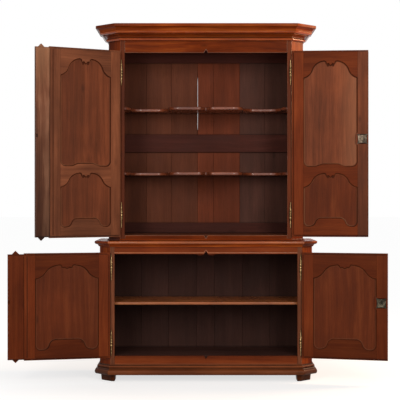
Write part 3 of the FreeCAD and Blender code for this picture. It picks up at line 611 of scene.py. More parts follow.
def eased(node, body, along, materials, edge, turn=0.0, raw=None):
    """A CAD board with its arrises rounded. Its tone is a straight blend across it and up it, which on some
    boards paints light and shade, and faces that look along raw take the second material in plain tone. Level
    and large faces stay flat."""
    mesh = cad_board(node)
    points = read(mesh.vertices, "co", 3) / MM
    axes = board_axes(along, turn)
    grain = (points - points.mean(axis=0)) @ axes.T + board_start()
    spread = 2 * (grain - grain.min(axis=0)) / np.ptp(grain, axis=0) - 1
    plain = chance.uniform(*PLAIN_TONES)
    tone = BOARD_TONES.get(node, plain)
    tone = tone + TONE_TILTS.get(node, 0.0) * spread[:, 0] + TONE_RISES.get(node, 0.0) * spread[:, 2]
    if raw is not None:
        chosen = looking(mesh, raw)
        finish_faces(mesh, chosen)
        corner_chosen = np.repeat(chosen, read(mesh.polygons, "loop_total", kind=np.int32))
        tone[face_corners(mesh)[corner_chosen]] = plain
    dressed(mesh, grain, tone, body, materials, (node,), edge)
    level = abs(read(mesh.polygons, "normal", 3) @ axes[1]) > math.cos(FLAT_ANGLE)
    large = read(mesh.polygons, "area") > FLAT_AREA * MM ** 2
    mesh.polygons.foreach_set("use_smooth", ~(level | large))


# Materials

def linear(code):
    """An sRGB hex colour as linear red, green, blue and a full alpha."""
    srgb = np.array([int(code[i:i + 2], 16) for i in (1, 3, 5)]) / 255
    low = srgb / 12.92
    high = ((srgb + 0.055) / 1.055) ** 2.4
    return tuple(np.where(srgb <= 0.04045, low, high)) + (1.0,)


def blank(name):
    """A new material and its node tree, still empty."""
    material = bpy.data.materials.new(name)
    material.use_nodes = True
    material.node_tree.nodes.clear()
    return material, material.node_tree


def add(tree, kind, sockets=(), **settings):
    """Adds one shader node: settings are its own choices, and each socket gets a value, another node's
    output, or the first output of another node."""
    node = tree.nodes.new("ShaderNode" + kind)
    for name, value in settings.items():
        setattr(node, name, value)
    for name, value in dict(sockets).items():
        if isinstance(value, bpy.types.Node):
            value = value.outputs[0]
        if isinstance(value, bpy.types.NodeSocket):
            tree.links.new(value, node.inputs[name])
        else:
            node.inputs[name].default_value = value
    return node


def streaks(tree, grain, across, along, detail):
    """Noise drawn out along the grain, by its size across and along the board."""
    rates = (1 / (across * MM), 1 / (across * MM), 1 / (along * MM))
    place = add(tree, "VectorMath", {0: grain, 1: rates}, operation="MULTIPLY")
    return add(tree, "TexNoise", {"Vector": place, "Scale": 1.0, "Detail": detail})


def drifting(tree, grain):
    """The grain led aside by a slow noise, so that it doesn't run quite straight up the board."""
    slow = add(tree, "VectorMath", {0: grain, 1: DRIFT_WAVES_PER_METRE}, operation="MULTIPLY")
    noise = add(tree, "TexNoise", {"Vector": slow, "Scale": 1.0, "Detail": DRIFT_DETAIL})
    centred = {0: noise.outputs["Color"], 1: NOISE_MIDDLE}
    aside = add(tree, "VectorMath", centred, operation="SUBTRACT")
    reach = (DRIFT * MM, DRIFT * MM, 0.0)
    return add(tree, "VectorMath", {0: aside, 1: reach, 2: grain}, operation="MULTIPLY_ADD")


def figured(tree, patterns, figure, colours):
    """The stain's colour: patterns added up by their shares, flattened by figure, choose between three
    colours."""
    mixed = FIGURE_START
    for pattern, share in zip(patterns, FIGURE_SHARES):
        mixed = add(tree, "Math", {0: pattern, 1: share, 2: mixed}, operation="MULTIPLY_ADD")
    flatter = {0: mixed, 1: figure, 2: FIGURE_MIDDLE * (1 - figure)}
    mixed = add(tree, "Math", flatter, operation="MULTIPLY_ADD")
    ramp = add(tree, "ValToRGB", {"Fac": mixed})
    stops = ramp.color_ramp.elements
    stops.new(COLOUR_PLACES[1])
    for index, (place, colour) in enumerate(zip(COLOUR_PLACES, colours)):
        stops[index].position = place
        stops[index].color = linear(colour)
    return ramp


def wood(name, *colours, rough, shine, figure=1.0, grime=0.7, reach=14.0):
    """Sawn, planed and stained wood. The eye sees soft bands and fine dark pores along the board, faint
    growth rings, clouds where the stain took unevenly, and boards of different tone. The tone also carries
    painted light and shade, and above 1 it mixes towards pale bald wood as wear and painted highlight. An
    ambient occlusion mask paints shade, together with dark wax, in the inner corners. Real rings are 2 to 6
    mm apart, too fine to show here, so they are drawn coarser."""
    material, tree = blank(name)
    grain = add(tree, "Attribute", attribute_name="grain").outputs["Vector"]
    tone = add(tree, "Attribute", attribute_name="tone").outputs["Fac"]
    bent = drifting(tree, grain)
    broad = streaks(tree, bent, *BROAD_STREAKS)
    fine = streaks(tree, bent, *FINE_STREAKS)
    pores = streaks(tree, grain, *PORES)
    cloud = streaks(tree, grain, *CLOUDS)
    blotch = streaks(tree, grain, *BLOTCHES)
    spaced = {"Vector": bent, "Scale": RING_AT_SCALE_ONE / (RING * MM), "Distortion": RING_WAVER}
    rings = add(tree, "TexWave", spaced, wave_type="RINGS", rings_direction="Z").outputs["Fac"]
    colour = figured(tree, (broad, fine, cloud, rings), figure, colours)
    knot_place = add(tree, "VectorMath", {0: grain, 1: KNOT_STRETCH}, operation="MULTIPLY")
    knot = add(tree, "TexVoronoi", {"Vector": knot_place, "Scale": 1 / (KNOT_SPACING * MM)})
    # Painted shade: ambient occlusion darkens the colour in inner corners and hollows, together with dark wax
    # there
    corner = add(tree, "AmbientOcclusion", {"Distance": reach * MM}, samples=WAX_AND_SHADE_SAMPLES)
    wax_and_shade_mask = {"Value": corner.outputs["AO"], "To Min": 1.0 - grime, **WAX_AND_SHADE_RANGE}
    level = add(tree, "MapRange", {"Value": pores, **PORE_RANGE})
    for factor in (
        add(tree, "MapRange", {"Value": blotch, **BLOTCH_RANGE}),
        add(tree, "MapRange", {"Value": knot, **KNOT_RANGE}),
        add(tree, "MapRange", {"Value": tone, **TONE_RANGE}, clamp=False),
        add(tree, "MapRange", wax_and_shade_mask),
    ):
        level = add(tree, "Math", {0: level, 1: factor}, operation="MULTIPLY")
    shade = add(tree, "HueSaturation", {"Color": colour, "Value": level})
    bald_and_highlight = add(tree, "MapRange", {"Value": tone, **BALD_AND_HIGHLIGHT_RANGE})
    blend = {MIX_SHARE: bald_and_highlight, MIX_FIRST: shade, MIX_SECOND: linear(BALD_AND_HIGHLIT_WOOD)}
    shade = add(tree, "Mix", blend, data_type="RGBA")
    least, most = rough - POLISH_SPREAD, rough + POLISH_SPREAD
    polish = {"Value": cloud, "To Min": least, "To Max": most, **POLISH_RANGE}
    height = add(tree, "Math", {0: blotch, 1: BLOTCH_RELIEF, 2: fine}, operation="MULTIPLY_ADD")
    relief = {"Height": height, "Strength": RELIEF_STRENGTH, "Distance": WOOD_RELIEF * MM}
    shader = add(tree, "BsdfPrincipled", {
        "Base Color": shade.outputs[MIX_RESULT],
        "Roughness": add(tree, "MapRange", polish),
        "Specular IOR Level": shine,
        "Normal": add(tree, "Bump", relief),
    })
    add(tree, "OutputMaterial", {"Surface": shader})
    return material


def metal(name, bright, worn, rough, patch):
    """Old hand-worked metal. The eye sees a satin shine that dulls in darker tarnished patches, and small
    dents."""
    material, tree = blank(name)
    place = add(tree, "TexCoord").outputs["Object"]
    spaced = {"Vector": place, "Scale": 1 / (patch * MM), "Detail": TARNISH_DETAIL}
    cloud = add(tree, "TexNoise", spaced)
    clean = add(tree, "MapRange", {"Value": cloud, **TARNISH_RANGE})
    blend = {MIX_SHARE: clean, MIX_FIRST: linear(worn), MIX_SECOND: linear(bright)}
    colour = add(tree, "Mix", blend, data_type="RGBA")
    dull = {"Value": clean, "To Min": rough + TARNISH_DULLING, "To Max": rough}
    relief = {"Height": cloud, "Strength": RELIEF_STRENGTH, "Distance": METAL_RELIEF * MM}
    shader = add(tree, "BsdfPrincipled", {
        "Base Color": colour.outputs[MIX_RESULT],
        "Roughness": add(tree, "MapRange", dull),
        "Metallic": 1.0,
        "Normal": add(tree, "Bump", relief),
    })
    add(tree, "OutputMaterial", {"Surface": shader})
    return material


# Polished outside: deep red-brown, with dark wax and painted shade in the hollows
polished = wood(
    "french_polished_walnut", "#5c2108", "#80340f", "#a8541c", rough=0.34, shine=0.04, grime=0.85, reach=30.0
)
# Rounds of mouldings, brighter and glossier where hands and cloths rub them; the brighter colour also paints
# the highlights on the rounds
burnished_highlit = wood(
    "burnished_walnut_rounds", "#602409", "#883a10", "#b05c20", rough=0.24, shine=0.28, grime=0.8, reach=24.0
)
# Arrises rubbed through to paler, shiny wood; the paler colour also paints the highlights along the arrises
rubbed_highlit = wood("rubbed_walnut_arris", "#6a3618", "#8a4c28", "#a86338", rough=0.30, shine=0.4, grime=0.3)
# Base moulding, scuffed and browner than the polished outside
plinth = wood(
    "worn_walnut_plinth", "#562810", "#6e381a", "#8a4c2a", rough=0.40, shine=0.10, grime=0.85, reach=30.0
)
# Feet, darker than the wood above them
footing = wood("dark_walnut_foot", "#3a180a", "#50260f", "#64351c", rough=0.46, shine=0.06)
# Waxed insides of the upper doors, a dull brown
framing = wood("waxed_walnut_framing", "#562b18", "#724028", "#8e5438", rough=0.46, shine=0.10, figure=0.85)
panelling = wood("waxed_walnut_panel", "#4e2612", "#68341d", "#83462a", rough=0.46, shine=0.10, figure=0.85)
# Redder: insides of the lower doors and of part of the upper right one, and the rails of the lower case
low_framing = wood("red_walnut_framing", "#54200b", "#6a2d12", "#803d1c", rough=0.46, shine=0.06, figure=0.75)
low_panelling = wood("red_walnut_panel", "#4a1e0c", "#5c2811", "#72381c", rough=0.46, shine=0.08, figure=0.85)
# A strip that has lost its wax, greyer and more streaked; the greyness also paints the sheen on that edge of
# the upper left door
weathered_sheen = wood(
    "weathered_walnut_strip", "#4a2a1c", "#643c2a", "#865c46", rough=0.55, shine=0.10, figure=1.3
)
# Linings inside the cases: dull, each from another tree, and darkest below, where the dark lining paints the
# deep shade inside the lower case
LINING = {"rough": 0.60, "shine": 0.08, "figure": 0.5, "grime": 0.55}
inner = wood("old_oak_lining", "#46261a", "#5c3222", "#72432e", **LINING | {"figure": 0.45})
red_lining = wood("red_oak_lining", "#4c2313", "#64301d", "#7c3e28", **LINING)
grey_lining = wood("grey_oak_lining", "#3c2720", "#4d3028", "#603d33", **LINING)
shaded_cellar_lining = wood("dark_oak_lining", "#2e1c18", "#3a241f", "#482f28", **LINING | {"rough": 0.62})
girding = wood("smoked_oak_rail", "#371b15", "#45221b", "#552d25", rough=0.60, shine=0.08, figure=0.6)
# Shelves, shiny along their worn noses; the paler lower shelf also paints the highlight on its nose
shelving = wood("worn_oak_shelf", "#4c2214", "#713822", "#925034", rough=0.26, shine=0.6)
worn_highlit_shelving = wood("rubbed_oak_shelf", "#6e3a1e", "#92522a", "#b07040", rough=0.30, shine=0.4)
# Backs and tops that never had a finish: dry and greyish
bare = wood("bare_oak_back", "#4b3a2c", "#6e5743", "#877057", rough=0.80, shine=0.10)
# Old wax, nearly black in the corners; as the dark lines round the panels, the drops in the carved eyes and
# the strips in the saw cuts it also paints their shade
corner_wax_and_shade = wood("dark_wax_in_corners", "#381608", "#48200e", "#582a16", rough=0.55, shine=0.06)
# Brass, bright where it is turned and brown where it is let into wood
brass = metal("worn_cast_brass", "#b4966a", "#6a5434", rough=0.32, patch=14.0)
tarnished = metal("tarnished_brass_leaf", "#6a5236", "#3c2c1c", rough=0.5, patch=14.0)
# Iron of the locks: grey where rubbed, brown or black elsewhere
iron = metal("rubbed_wrought_iron", "#a3937f", "#544a40", rough=0.42, patch=18.0)
brown_iron = metal("browned_wrought_iron", "#75685a", "#3c342d", rough=0.45, patch=18.0)
dark_iron = metal("blackened_wrought_iron", "#5c5648", "#2e2a24", rough=0.50, patch=22.0)


# Mouldings

def case_plan(top_board, cant):
    """The outer plan of a case from its back left corner round the front, as complex numbers."""
    low, high = node_box(top_board)
    right = np.array([
        complex(high[0] - cant, low[1]),
        complex(high[0], low[1] + cant),
        complex(high[0], high[1]),
    ])
    return np.concatenate([-right.conj()[::-1], right])


def rubbed_corners(section):
    """A profile with each sharp corner cut back a little, and how much paler each of its points is. Outer
    corners are rubbed pale. Rounds are painted pale as wear and painted highlight, and hollows are painted
    darker as dark polish and painted shade."""
    before, after = np.diff(section)[:-1], np.diff(section)[1:]
    turn = np.angle(after / before)
    sharp = abs(turn) > SHARP_ANGLE
    run = np.where(CORNER_REACHES < 0, before[:, None], after[:, None])
    step = np.sign(CORNER_REACHES) * np.minimum(abs(CORNER_REACHES), abs(run) * CORNER_RUN_SHARES)
    corners = section[1:-1, None] + run / abs(run) * step
    corners[~sharp] = section[1:-1][~sharp, None]
    paler = np.where(turn > 0, np.where(sharp, EDGE_RUB, ROUND_RUB_AND_HIGHLIGHT), HOLLOW_POLISH_AND_SHADE * turn / HOLLOW_TURN)
    paler[abs(turn) < FLAT_TURN] = 0
    wear_and_light = paler[:, None] * CORNER_RUB_SHARES
    wear_and_light[~sharp] = paler[~sharp, None]
    keep = sharp[:, None] | CORNER_FIRST
    points = np.concatenate([section[:1], corners[keep], section[-1:]])
    return points, np.concatenate([[0], wear_and_light[keep], [0]])


def mitres(plan):
    """Which way a moulding stands out at each corner of a plan: square to the first and last runs, and
    along the mitre between two others, longer as the corner is sharper."""
    runs = np.diff(plan)
    outs = -1j * runs / abs(runs)
    between = (outs[:-1] + outs[1:]) / (1 + (outs[:-1] * outs[1:].conj()).real)
    return np.concatenate([outs[:1], between, outs[-1:]])


def moulding(plan, shares, projection, bottom, top, tone=PLAIN_TONE, cant_shade_tone=PLAIN_TONE, fall=0.0):
    """One mitred length along each run of a plan. A point of the profile stands out from both ends of its run
    along the mitres, and the length between is a straight blend of the two, eased a little where lengths
    meet. Its tone falls towards its foot, which paints shade low on the base and, where the fall is negative,
    a highlight low on the waist. Canted lengths take their own tone, which paints shade on the cants."""
    height = top - bottom
    section = np.append(outline(0j, shares, projection, height), complex(0, height))
    section, wear_and_light = rubbed_corners(section)
    wear_and_light = wear_and_light - fall * (1 - section.imag / height)
    inward = (section.mean() - section) / abs(section.mean() - section)
    ways = mitres(plan)
    lengths = []
    for index, (begin, end) in enumerate(zip(plan[:-1], plan[1:])):
        span = abs(end - begin)
        near = MITRE_RUN / span
        along = np.array([0, near, *RING_SHARES, 1 - near, 1])[:, None]
        drawn = section + inward * np.isin(along, (0, 1)) * MITRE_EASE
        first = begin + ways[index] * drawn.real
        last = end + ways[index + 1] * drawn.real
        place = first * (1 - along) + last * along
        rings = places(place.real, place.imag, bottom + drawn.imag)
        grain = places(distances(section), 0.0, along * span) + board_start()
        length_tone = cant_shade_tone if index in CANTED_RUNS else tone
        lengths.append(swept(rings, grain, np.broadcast_to(length_tone + wear_and_light, drawn.shape).ravel()))
    return lengths


def highlight_and_burnish(mesh, plain):
    """Gives the second, glossier material to faces whose corners are all painted paler than the plain tone,
    as wear and painted highlight.
    """
    tone = read(mesh.attributes["tone"].data, "value")
    least = np.minimum.reduceat(tone[face_corners(mesh)], read(mesh.polygons, "loop_start", kind=np.int32))
    finish_faces(mesh, least > plain + (EDGE_RUB + ROUND_RUB_AND_HIGHLIGHT) / 2)


UPPER_PLAN = case_plan("upper_top_board", UPPER_CANT)
LOWER_PLAN = case_plan("lower_top_board", LOWER_CANT)
UPPER_HALF = UPPER_PLAN.real.max()
LOWER_HALF = LOWER_PLAN.real.max()
WAIST_TOP = node_box("upper_bottom_rail")[0][2]

low, high = node_box("cornice")
lengths = moulding(UPPER_PLAN, CORNICE_SHARES, high[0] - UPPER_HALF, low[2], high[2])
finishes = [polished, burnished_highlit, bare]
cornice = made("cornice.lengths", lengths, "case", finishes, ["cornice"])
highlight_and_burnish(cornice, PLAIN_TONE)
rubbed_faces = read(cornice.polygons, "material_index", kind=np.int32)
finish_faces(cornice, np.where(looking(cornice, UPWARD), finishes.index(bare), rubbed_faces))

low, high = node_box("base_moulding")
lengths = moulding(
    LOWER_PLAN, BASE_SHARES, high[0] - LOWER_HALF, low[2], high[2], BASE_TONE, CANT_SHADE_TONE, BASE_SHADE_FALL
)
made("base_moulding.lengths", lengths, "case", [plinth], ["base_moulding"])

low, high = node_box("waist_mouldings")
lengths = moulding(
    LOWER_PLAN, WAIST_SHARES, high[0] - LOWER_HALF, low[2], WAIST_TOP, WAIST_TONE, CANT_SHADE_TONE, WAIST_HIGHLIGHT_FALL
)
lengths += moulding(
    UPPER_PLAN, RETAINER_SHARES, RETAINER_PROJECTION, WAIST_TOP, high[2], WAIST_TONE, CANT_SHADE_TONE
)
waist = made(
    "waist_mouldings.lengths", lengths, "case", [polished, burnished_highlit], ["waist_mouldings"]
)
highlight_and_burnish(waist, WAIST_TONE)


# Shelves

def shelf(node, front, finish, nose_highlight_tone):
    """A board whose section is carried along its front edge: two points at the back, and a nose that is a
    half superellipse square to the edge, rubbed back a little here and there. The nose can be painted paler
    towards its front, a painted highlight."""
    low, high = node_box(node)
    length = distances(front)[-1]
    edge = evenly(front, np.linspace(0, length, SHELF_STATIONS))
    out = -1j * np.gradient(edge)
    out /= abs(out)
    worn = SHELF_WEAR * (1 + wander(length, SHELF_STATIONS, SHELF_WEAR_WAVES))
    turn = np.linspace(-math.pi / 2, math.pi / 2, NOSE_POINTS)
    reach = (SHELF_NOSE - worn)[:, None] * np.cos(turn) ** NOSE_FULLNESS - SHELF_NOSE
    rise = np.sign(np.sin(turn)) * abs(np.sin(turn)) ** NOSE_FULLNESS
    nose = edge[:, None] + out[:, None] * reach
    level = (low[2] + high[2]) / 2 + rise * (high[2] - low[2]) / 2
    rear = np.full((SHELF_STATIONS, 1), high[1])
    across = np.concatenate([edge.real[:, None], nose.real, edge.real[:, None]], axis=1)
    deep = np.concatenate([rear, nose.imag, rear], axis=1)
    levels = np.concatenate([[low[2]], level, [high[2]]])
    rings = places(across, deep, levels)
    grain = places(deep, levels, across) + board_start()
    paler = (nose_highlight_tone - PLAIN_TONE) * np.cos(turn)
    tone = np.tile(PLAIN_TONE + np.concatenate([[0], paler, [0]]), SHELF_STATIONS)
    made(node + ".worn", [swept(rings, grain, tone)], "case", [finish], [node])


def shelf_front(node, plan, cant, wave=()):
    """The plan of a shelf's front edge from left to right: the right half of any wave, then the canted end
    that runs along the inside of the post, and their mirror image."""
    low, high = node_box(node)
    corner = plan.real.max() - cant - POST_THICKNESS * math.sqrt(2)
    front = plan.imag.min()
    ends = [complex(corner + low[1] - front, low[1]), complex(high[0], front + high[0] - corner)]
    right = np.concatenate([wave, ends])
    left = -right.conj()
    return np.concatenate([left[::-1], right[1 if len(wave) else 0:]])


for node in ("upper_high_shelf", "upper_low_shelf"):
    low, high = node_box(node)
    middle = complex(0, WAVE_MIDDLE_SHARE * UPPER_SHELF_WAVE)
    wave = outline(middle, WAVE_SHARES, high[0], UPPER_SHELF_WAVE) + 1j * low[1]
    shelf(node, shelf_front(node, UPPER_PLAN, UPPER_CANT, wave), shelving, PLAIN_TONE)
shelf("lower_shelf", shelf_front("lower_shelf", LOWER_PLAN, LOWER_CANT), worn_highlit_shelving, NOSE_HIGHLIGHT_TONE)


# Back boards

def back_joints(low, high, up, crack_foot):
    """The lines of the boards' edges at each level, and how far each has opened. The outer edges are
    straight, the joints between wander, and one of them has shrunk open above the level crack_foot."""
    edges = [np.full(BOARD_STATIONS, low[0])]
    for share in BACK_JOINT_SHARES:
        aside = BACK_JOINT_WANDER * wander(high[2] - low[2], BOARD_STATIONS, BACK_JOINT_WAVES)
        edges.append(share * high[0] + aside)
    edges.append(np.full(BOARD_STATIONS, high[0]))
    opens = np.zeros((len(edges), BOARD_STATIONS))
    near_end = np.minimum(up - crack_foot, CRACK_HEAD - up)
    opens[CRACK_JOINT + 1] = CRACK_WIDTH * np.clip(near_end / CRACK_TAPER, 0, 1)
    return edges, opens


def back_board(left, right, tongue, up, front, back, tones):
    """One board: a rectangle with eased corners and a tongue on its right edge, carried up while both edges
    wander. Its tone is a straight blend from foot to head."""
    near, far = (front + share * (back - front) for share in BACK_TONGUE_SHARES)
    corners = (
        (left + BOARD_EASE, front), (right - BOARD_EASE, front), (right, front + BOARD_EASE), (right, near),
        (tongue, near), (tongue, far), (right, far), (right, back - BACK_EASE), (right - BACK_EASE, back),
        (left + BACK_EASE, back), (left, back - BACK_EASE), (left, front + BOARD_EASE),
    )
    across = np.stack([place for place, _ in corners], axis=1)
    deep = [place for _, place in corners]
    rings = places(across, deep, up[:, None])
    grain = places(across - across.mean(), deep, up[:, None]) + board_start()
    return swept(rings, grain, np.repeat(np.linspace(*tones, BOARD_STATIONS), len(corners)))


def back_boards(node, linings, crack_foot):
    """Upright boards side by side, each with its own lining in front. Their backs are bare."""
    low, high = node_box(node)
    up = np.linspace(low[2], high[2], BOARD_STATIONS)
    edges, opens = back_joints(low, high, up, crack_foot)
    shells = []
    for index, tones in enumerate(BACK_TONES[node]):
        joined_left, joined_right = index > 0, index < len(linings) - 1
        left = edges[index] + opens[index] / 2 + BACK_JOINT / 2 * joined_left
        right = edges[index + 1] - opens[index + 1] / 2 - BACK_JOINT / 2 * joined_right
        shut = np.clip(1 - opens[index + 1] / BACK_TONGUE, 0, 1) * joined_right
        tongue = right + (BACK_TONGUE + BACK_JOINT) * shut
        shells.append(back_board(left, right, tongue, up, low[1], high[1], tones))
    finishes = list(dict.fromkeys(linings)) + [bare]
    mesh = made(node + ".sawn", shells, "case", finishes, [node])
    behind = looking(mesh, BACKWARD)
    of_board = np.repeat([finishes.index(lining) for lining in linings], len(behind) // len(linings))
    finish_faces(mesh, np.where(behind, finishes.index(bare), of_board))


UPPER_LININGS = (inner, inner, inner, red_lining, red_lining, grey_lining, grey_lining)
back_boards("upper_back_boards", UPPER_LININGS, CRACK_FOOT)
back_boards("lower_back_boards", (shaded_cellar_lining,) * len(UPPER_LININGS), math.inf)


# Boards of the cases

CASE_BOARDS = (
    ("feet", "up", footing, "moulding_wood"),
    ("lower_bottom_board", "flat", shaded_cellar_lining, "inside_wood"),
    ("lower_bottom_rail", "level", low_framing, "frame_wood"),
    ("lower_top_rail", "level", low_framing, "frame_wood"),
    ("lower_top_board", "flat", polished, "frame_wood"),
    ("upper_bottom_board", "flat", inner, "inside_wood"),
    ("upper_bottom_rail", "level", polished, "frame_wood"),
    ("upper_frieze", "level", polished, "frame_wood"),
    ("upper_back_rails", "level", girding, "inside_wood"),
    ("shelf_ledgers", "deep", inner, "inside_wood"),
)
for node, along, finish, slot in CASE_BOARDS:
    edge_finish = rubbed_highlit if finish is polished else finish
    eased(node, "case", along, [finish, edge_finish], CASE_EDGE)
for node, finish in (("upper_corner_posts", low_panelling), ("lower_corner_posts", framing)):
    eased(node, "case", "up", [polished, finish, rubbed_highlit], POST_EDGE, raw=FORWARD)
for node, finish in (("upper_sides", red_lining), ("lower_sides", shaded_cellar_lining)):
    eased(node, "case", "side", [polished, finish, rubbed_highlit], CASE_EDGE, raw=INWARD)
eased("upper_top_board", "case", "flat", [polished, bare], CASE_EDGE, raw=UPWARD)


def worn_highlit_arris(node):
    """The rubbed lower front edge of a rail: a pale round bead carried along the lowest points of its front
    face, which is wear and also a painted highlight along the edge."""
    points = node_points(node)
    front = points[:, 1].min()
    face = points[points[:, 1] < front + SAME_PLACE]
    face = face[np.lexsort((face[:, 2], face[:, 0]))]
    _, first = np.unique(face[:, 0].round(), return_index=True)
    path = face[first, 0] + 1j * face[first, 2]
    way = np.gradient(path)
    inward = 1j * way / abs(way)
    angle = circle(WORN_POINTS)
    place = path[:, None] + inward[:, None] * (WORN_INSET + WORN_RADIUS * np.sin(angle))
    deep = front + WORN_INSET + WORN_RADIUS * np.cos(angle)
    rings = places(place.real, deep, place.imag)
    grain = places(place.imag, deep, place.real)
    made(node + ".arris", [swept(rings, grain, WORN_HIGHLIGHT_TONE)], "case", [rubbed_highlit])


worn_highlit_arris("lower_top_rail")


# Doors

class Door:
    """Where a door hangs, from its hinge joint: its pin, its side and how far it stands open at rest."""

    def __init__(self, joint):
        self.name = joint["child"]
        self.stage, self.start = self.name.split("_")[0], self.name.removesuffix("door")
        self.pin = complex(joint["pos_m"][0], joint["pos_m"][1]) / MM
        self.side = math.copysign(1, self.pin.real)
        self.turn = -joint["range_deg"][0] * self.side
        angle = math.radians(self.turn)
        self.outward = (math.sin(angle), -math.cos(angle), 0.0)

    def swung(self, points, degrees):
        """Points turned about the pin."""
        plan = points[..., 0] + 1j * points[..., 1]
        plan = self.pin + (plan - self.pin) * np.exp(1j * math.radians(degrees))
        return places(plan.real, plan.imag, points[..., 2])

    def opened(self, shell):
        """A shell of the shut door, turned to where the open door has it."""
        return shell._replace(points=self.swung(shell.points, self.turn))

    def box(self, name):
        """The low and high corners of one of the door's nodes, with the door shut."""
        points = self.swung(node_points(self.start + name), -self.turn)
        return points.min(axis=0), points.max(axis=0)

    def lay(self, shell, middle, face):
        """Lays an upright shell against the inner face of the door: its height points out of the face."""
        x, y, z = shell.points.T
        return self.opened(shell._replace(points=places(middle[0] + x, face + z, middle[1] + y)))


DOORS = [Door(joint) for joint in frame["joints"] if joint["name"].endswith("door_hinge")]
UPRIGHTS = ("hinge_stile", "meeting_stile", "lock_stile")
RAILS = ("bottom_rail", "middle_rail", "top_rail")
STAGE_FINISHES = {"upper": (framing, panelling), "lower": (low_framing, low_panelling)}
OWN_FINISHES = {
    "upper_left_pilaster": weathered_sheen,
    "upper_right_hinge_stile": low_framing,
    "upper_right_lock_stile": panelling,
    "upper_right_top_rail": low_framing,
    "upper_right_bottom_rail": low_framing,
    "upper_right_middle_rail": low_framing,
    "upper_right_short_panel": low_panelling,
}

for door in DOORS:
    frame_finish, panel_finish = STAGE_FINISHES[door.stage]
    for names, along, finish, slot in (
        (UPRIGHTS, "up", frame_finish, "frame_wood"),
        (RAILS, "level", frame_finish, "frame_wood"),
        (PANEL_SHAPES, "up", panel_finish, "panel_wood"),
        (("pilaster",), "up", frame_finish, "frame_wood"),
    ):
        for node in (door.start + name for name in names):
            if node in frame["nodes"]:
                within = OWN_FINISHES.get(node, finish)
                finishes = [within, polished, within]
                eased(node, door.name, along, finishes, DOOR_EDGE, door.turn, door.outward)


def panel_outline(shape, half, bottom, top):
    """The edge of a panel's opening, round from the middle of its foot, as complex numbers of across and
    up."""
    crest = outline(complex(half, 0), CREST_SHARES, half, shape.crest_rise) + 1j * (top - shape.crest_rise)
    foot_start = complex(half, shape.side_share * shape.foot_rise)
    foot = outline(foot_start, shape.foot, half, shape.foot_rise) + 1j * bottom
    right = np.concatenate([foot[::-1], crest])
    left = -right.conj()
    return np.concatenate([right, left[::-1][1:-1]])


def wax_line(door, name):
    """Old wax and painted shade in the corner between a panel and its frame: a dark hollow fillet carried
    round the edge of the opening, square to it, on the inner face of the panel, and a dark drop in each of
    the two eyes of its crest, painting the shade of the carving. It is painted paler along one side and the
    foot, so that the painted shade shows on the other sides."""
    shape = PANEL_SHAPES[name]
    low, high = door.box(name)
    middle = (low[0] + high[0]) / 2
    half = (high[0] - low[0]) / 2 - PANEL_TONGUE
    top = high[2] - PANEL_TONGUE
    edge = panel_outline(shape, half, low[2] + PANEL_TONGUE, top)
    edge = np.append(edge, edge[0])
    length = distances(edge)[-1]
    path = evenly(edge, np.linspace(0, length, round(length / WAX_WIDTH), endpoint=False))
    inward = 1j * (np.roll(path, -1) - np.roll(path, 1))
    inward /= abs(inward)
    place = path[:, None] + inward[:, None] * WAX_SHARES[:, 0] * WAX_WIDTH
    rings = places(middle + place.real, high[1] + WAX_SHARES[:, 1] * WAX_HEIGHT, place.imag)
    rings = door.swung(rings, door.turn)
    lit_side_paling = np.clip(WAX_FOOT_SHARE * inward.imag - inward.real, 0, 1) * WAX_PALE_SHARES[door.stage]
    tone = WAX_TONES + lit_side_paling[:, None] * (WAX_PALE_TONE - WAX_TONES)
    shells = [swept(rings, rings, tone.ravel(), loop=True)]
    level = top - (1 - DROP_LEVEL_SHARE) * shape.crest_rise
    for share in shape.eyes:
        drop = turned(DROP_SHARES, DROP_RADIUS, DROP_HEIGHT)
        shells.append(door.lay(drop, (middle + share * half, level), high[1]))
    made(door.start + name + ".wax", shells, door.name, [corner_wax_and_shade])


def kerf_line(door):
    """The wax-filled saw cut down the inner face of a meeting stile, beside its edge: a dark strip standing a
    little proud, which paints the shade in the cut.
    """
    low, high = door.box("meeting_stile")
    across = high[0] - KERF_INSET
    strip = slab(
        (across - KERF_WIDTH / 2, high[1] - KERF_WIDTH, low[2] + KERF_INSET),
        (across + KERF_WIDTH / 2, high[1] + KERF_PROUD, high[2] - KERF_INSET),
    )
    strip = door.opened(strip)._replace(tone=KERF_WAX_AND_SHADE_TONE)
    made(door.start + "meeting_stile.kerf", [strip], door.name, [corner_wax_and_shade])


for door in DOORS:
    for name in PANEL_SHAPES:
        if door.start + name in frame["nodes"]:
            wax_line(door, name)
    if door.side < 0:
        kerf_line(door)


# Hinges

def hinge_levels(door):
    """The two heights at which the door's hinges part, from the box of their upper halves."""
    low, high = node_box(door.start + "door_hinge_halves")
    return low[2] - HINGE_GAP, high[2] - HINGE_GAP - BEAD_LENGTH - SPIRE_LENGTH


def turnings(door, level, beads, way):
    """Round beads one after another along the pin, then a spire, upwards or for a way of -1 downwards. A
    bead's radius follows a circular arc through neck, belly and neck."""
    neck = complex(NECK_RADIUS, 0)
    bead = np.append(neck, arc(neck, complex(BEAD_RADIUS, BEAD_LENGTH / 2), neck + 1j * BEAD_LENGTH))
    shares = np.stack([bead.real / BEAD_RADIUS, bead.imag / BEAD_LENGTH], axis=1)
    levels = level + way * BEAD_LENGTH * np.arange(beads + 1)
    starts = places(door.pin.real, door.pin.imag, levels)
    shells = [turned(shares, BEAD_RADIUS, way * BEAD_LENGTH, start) for start in starts[:-1]]
    return shells + [turned(SPIRE_SHARES, NECK_RADIUS, way * SPIRE_LENGTH, starts[-1])]


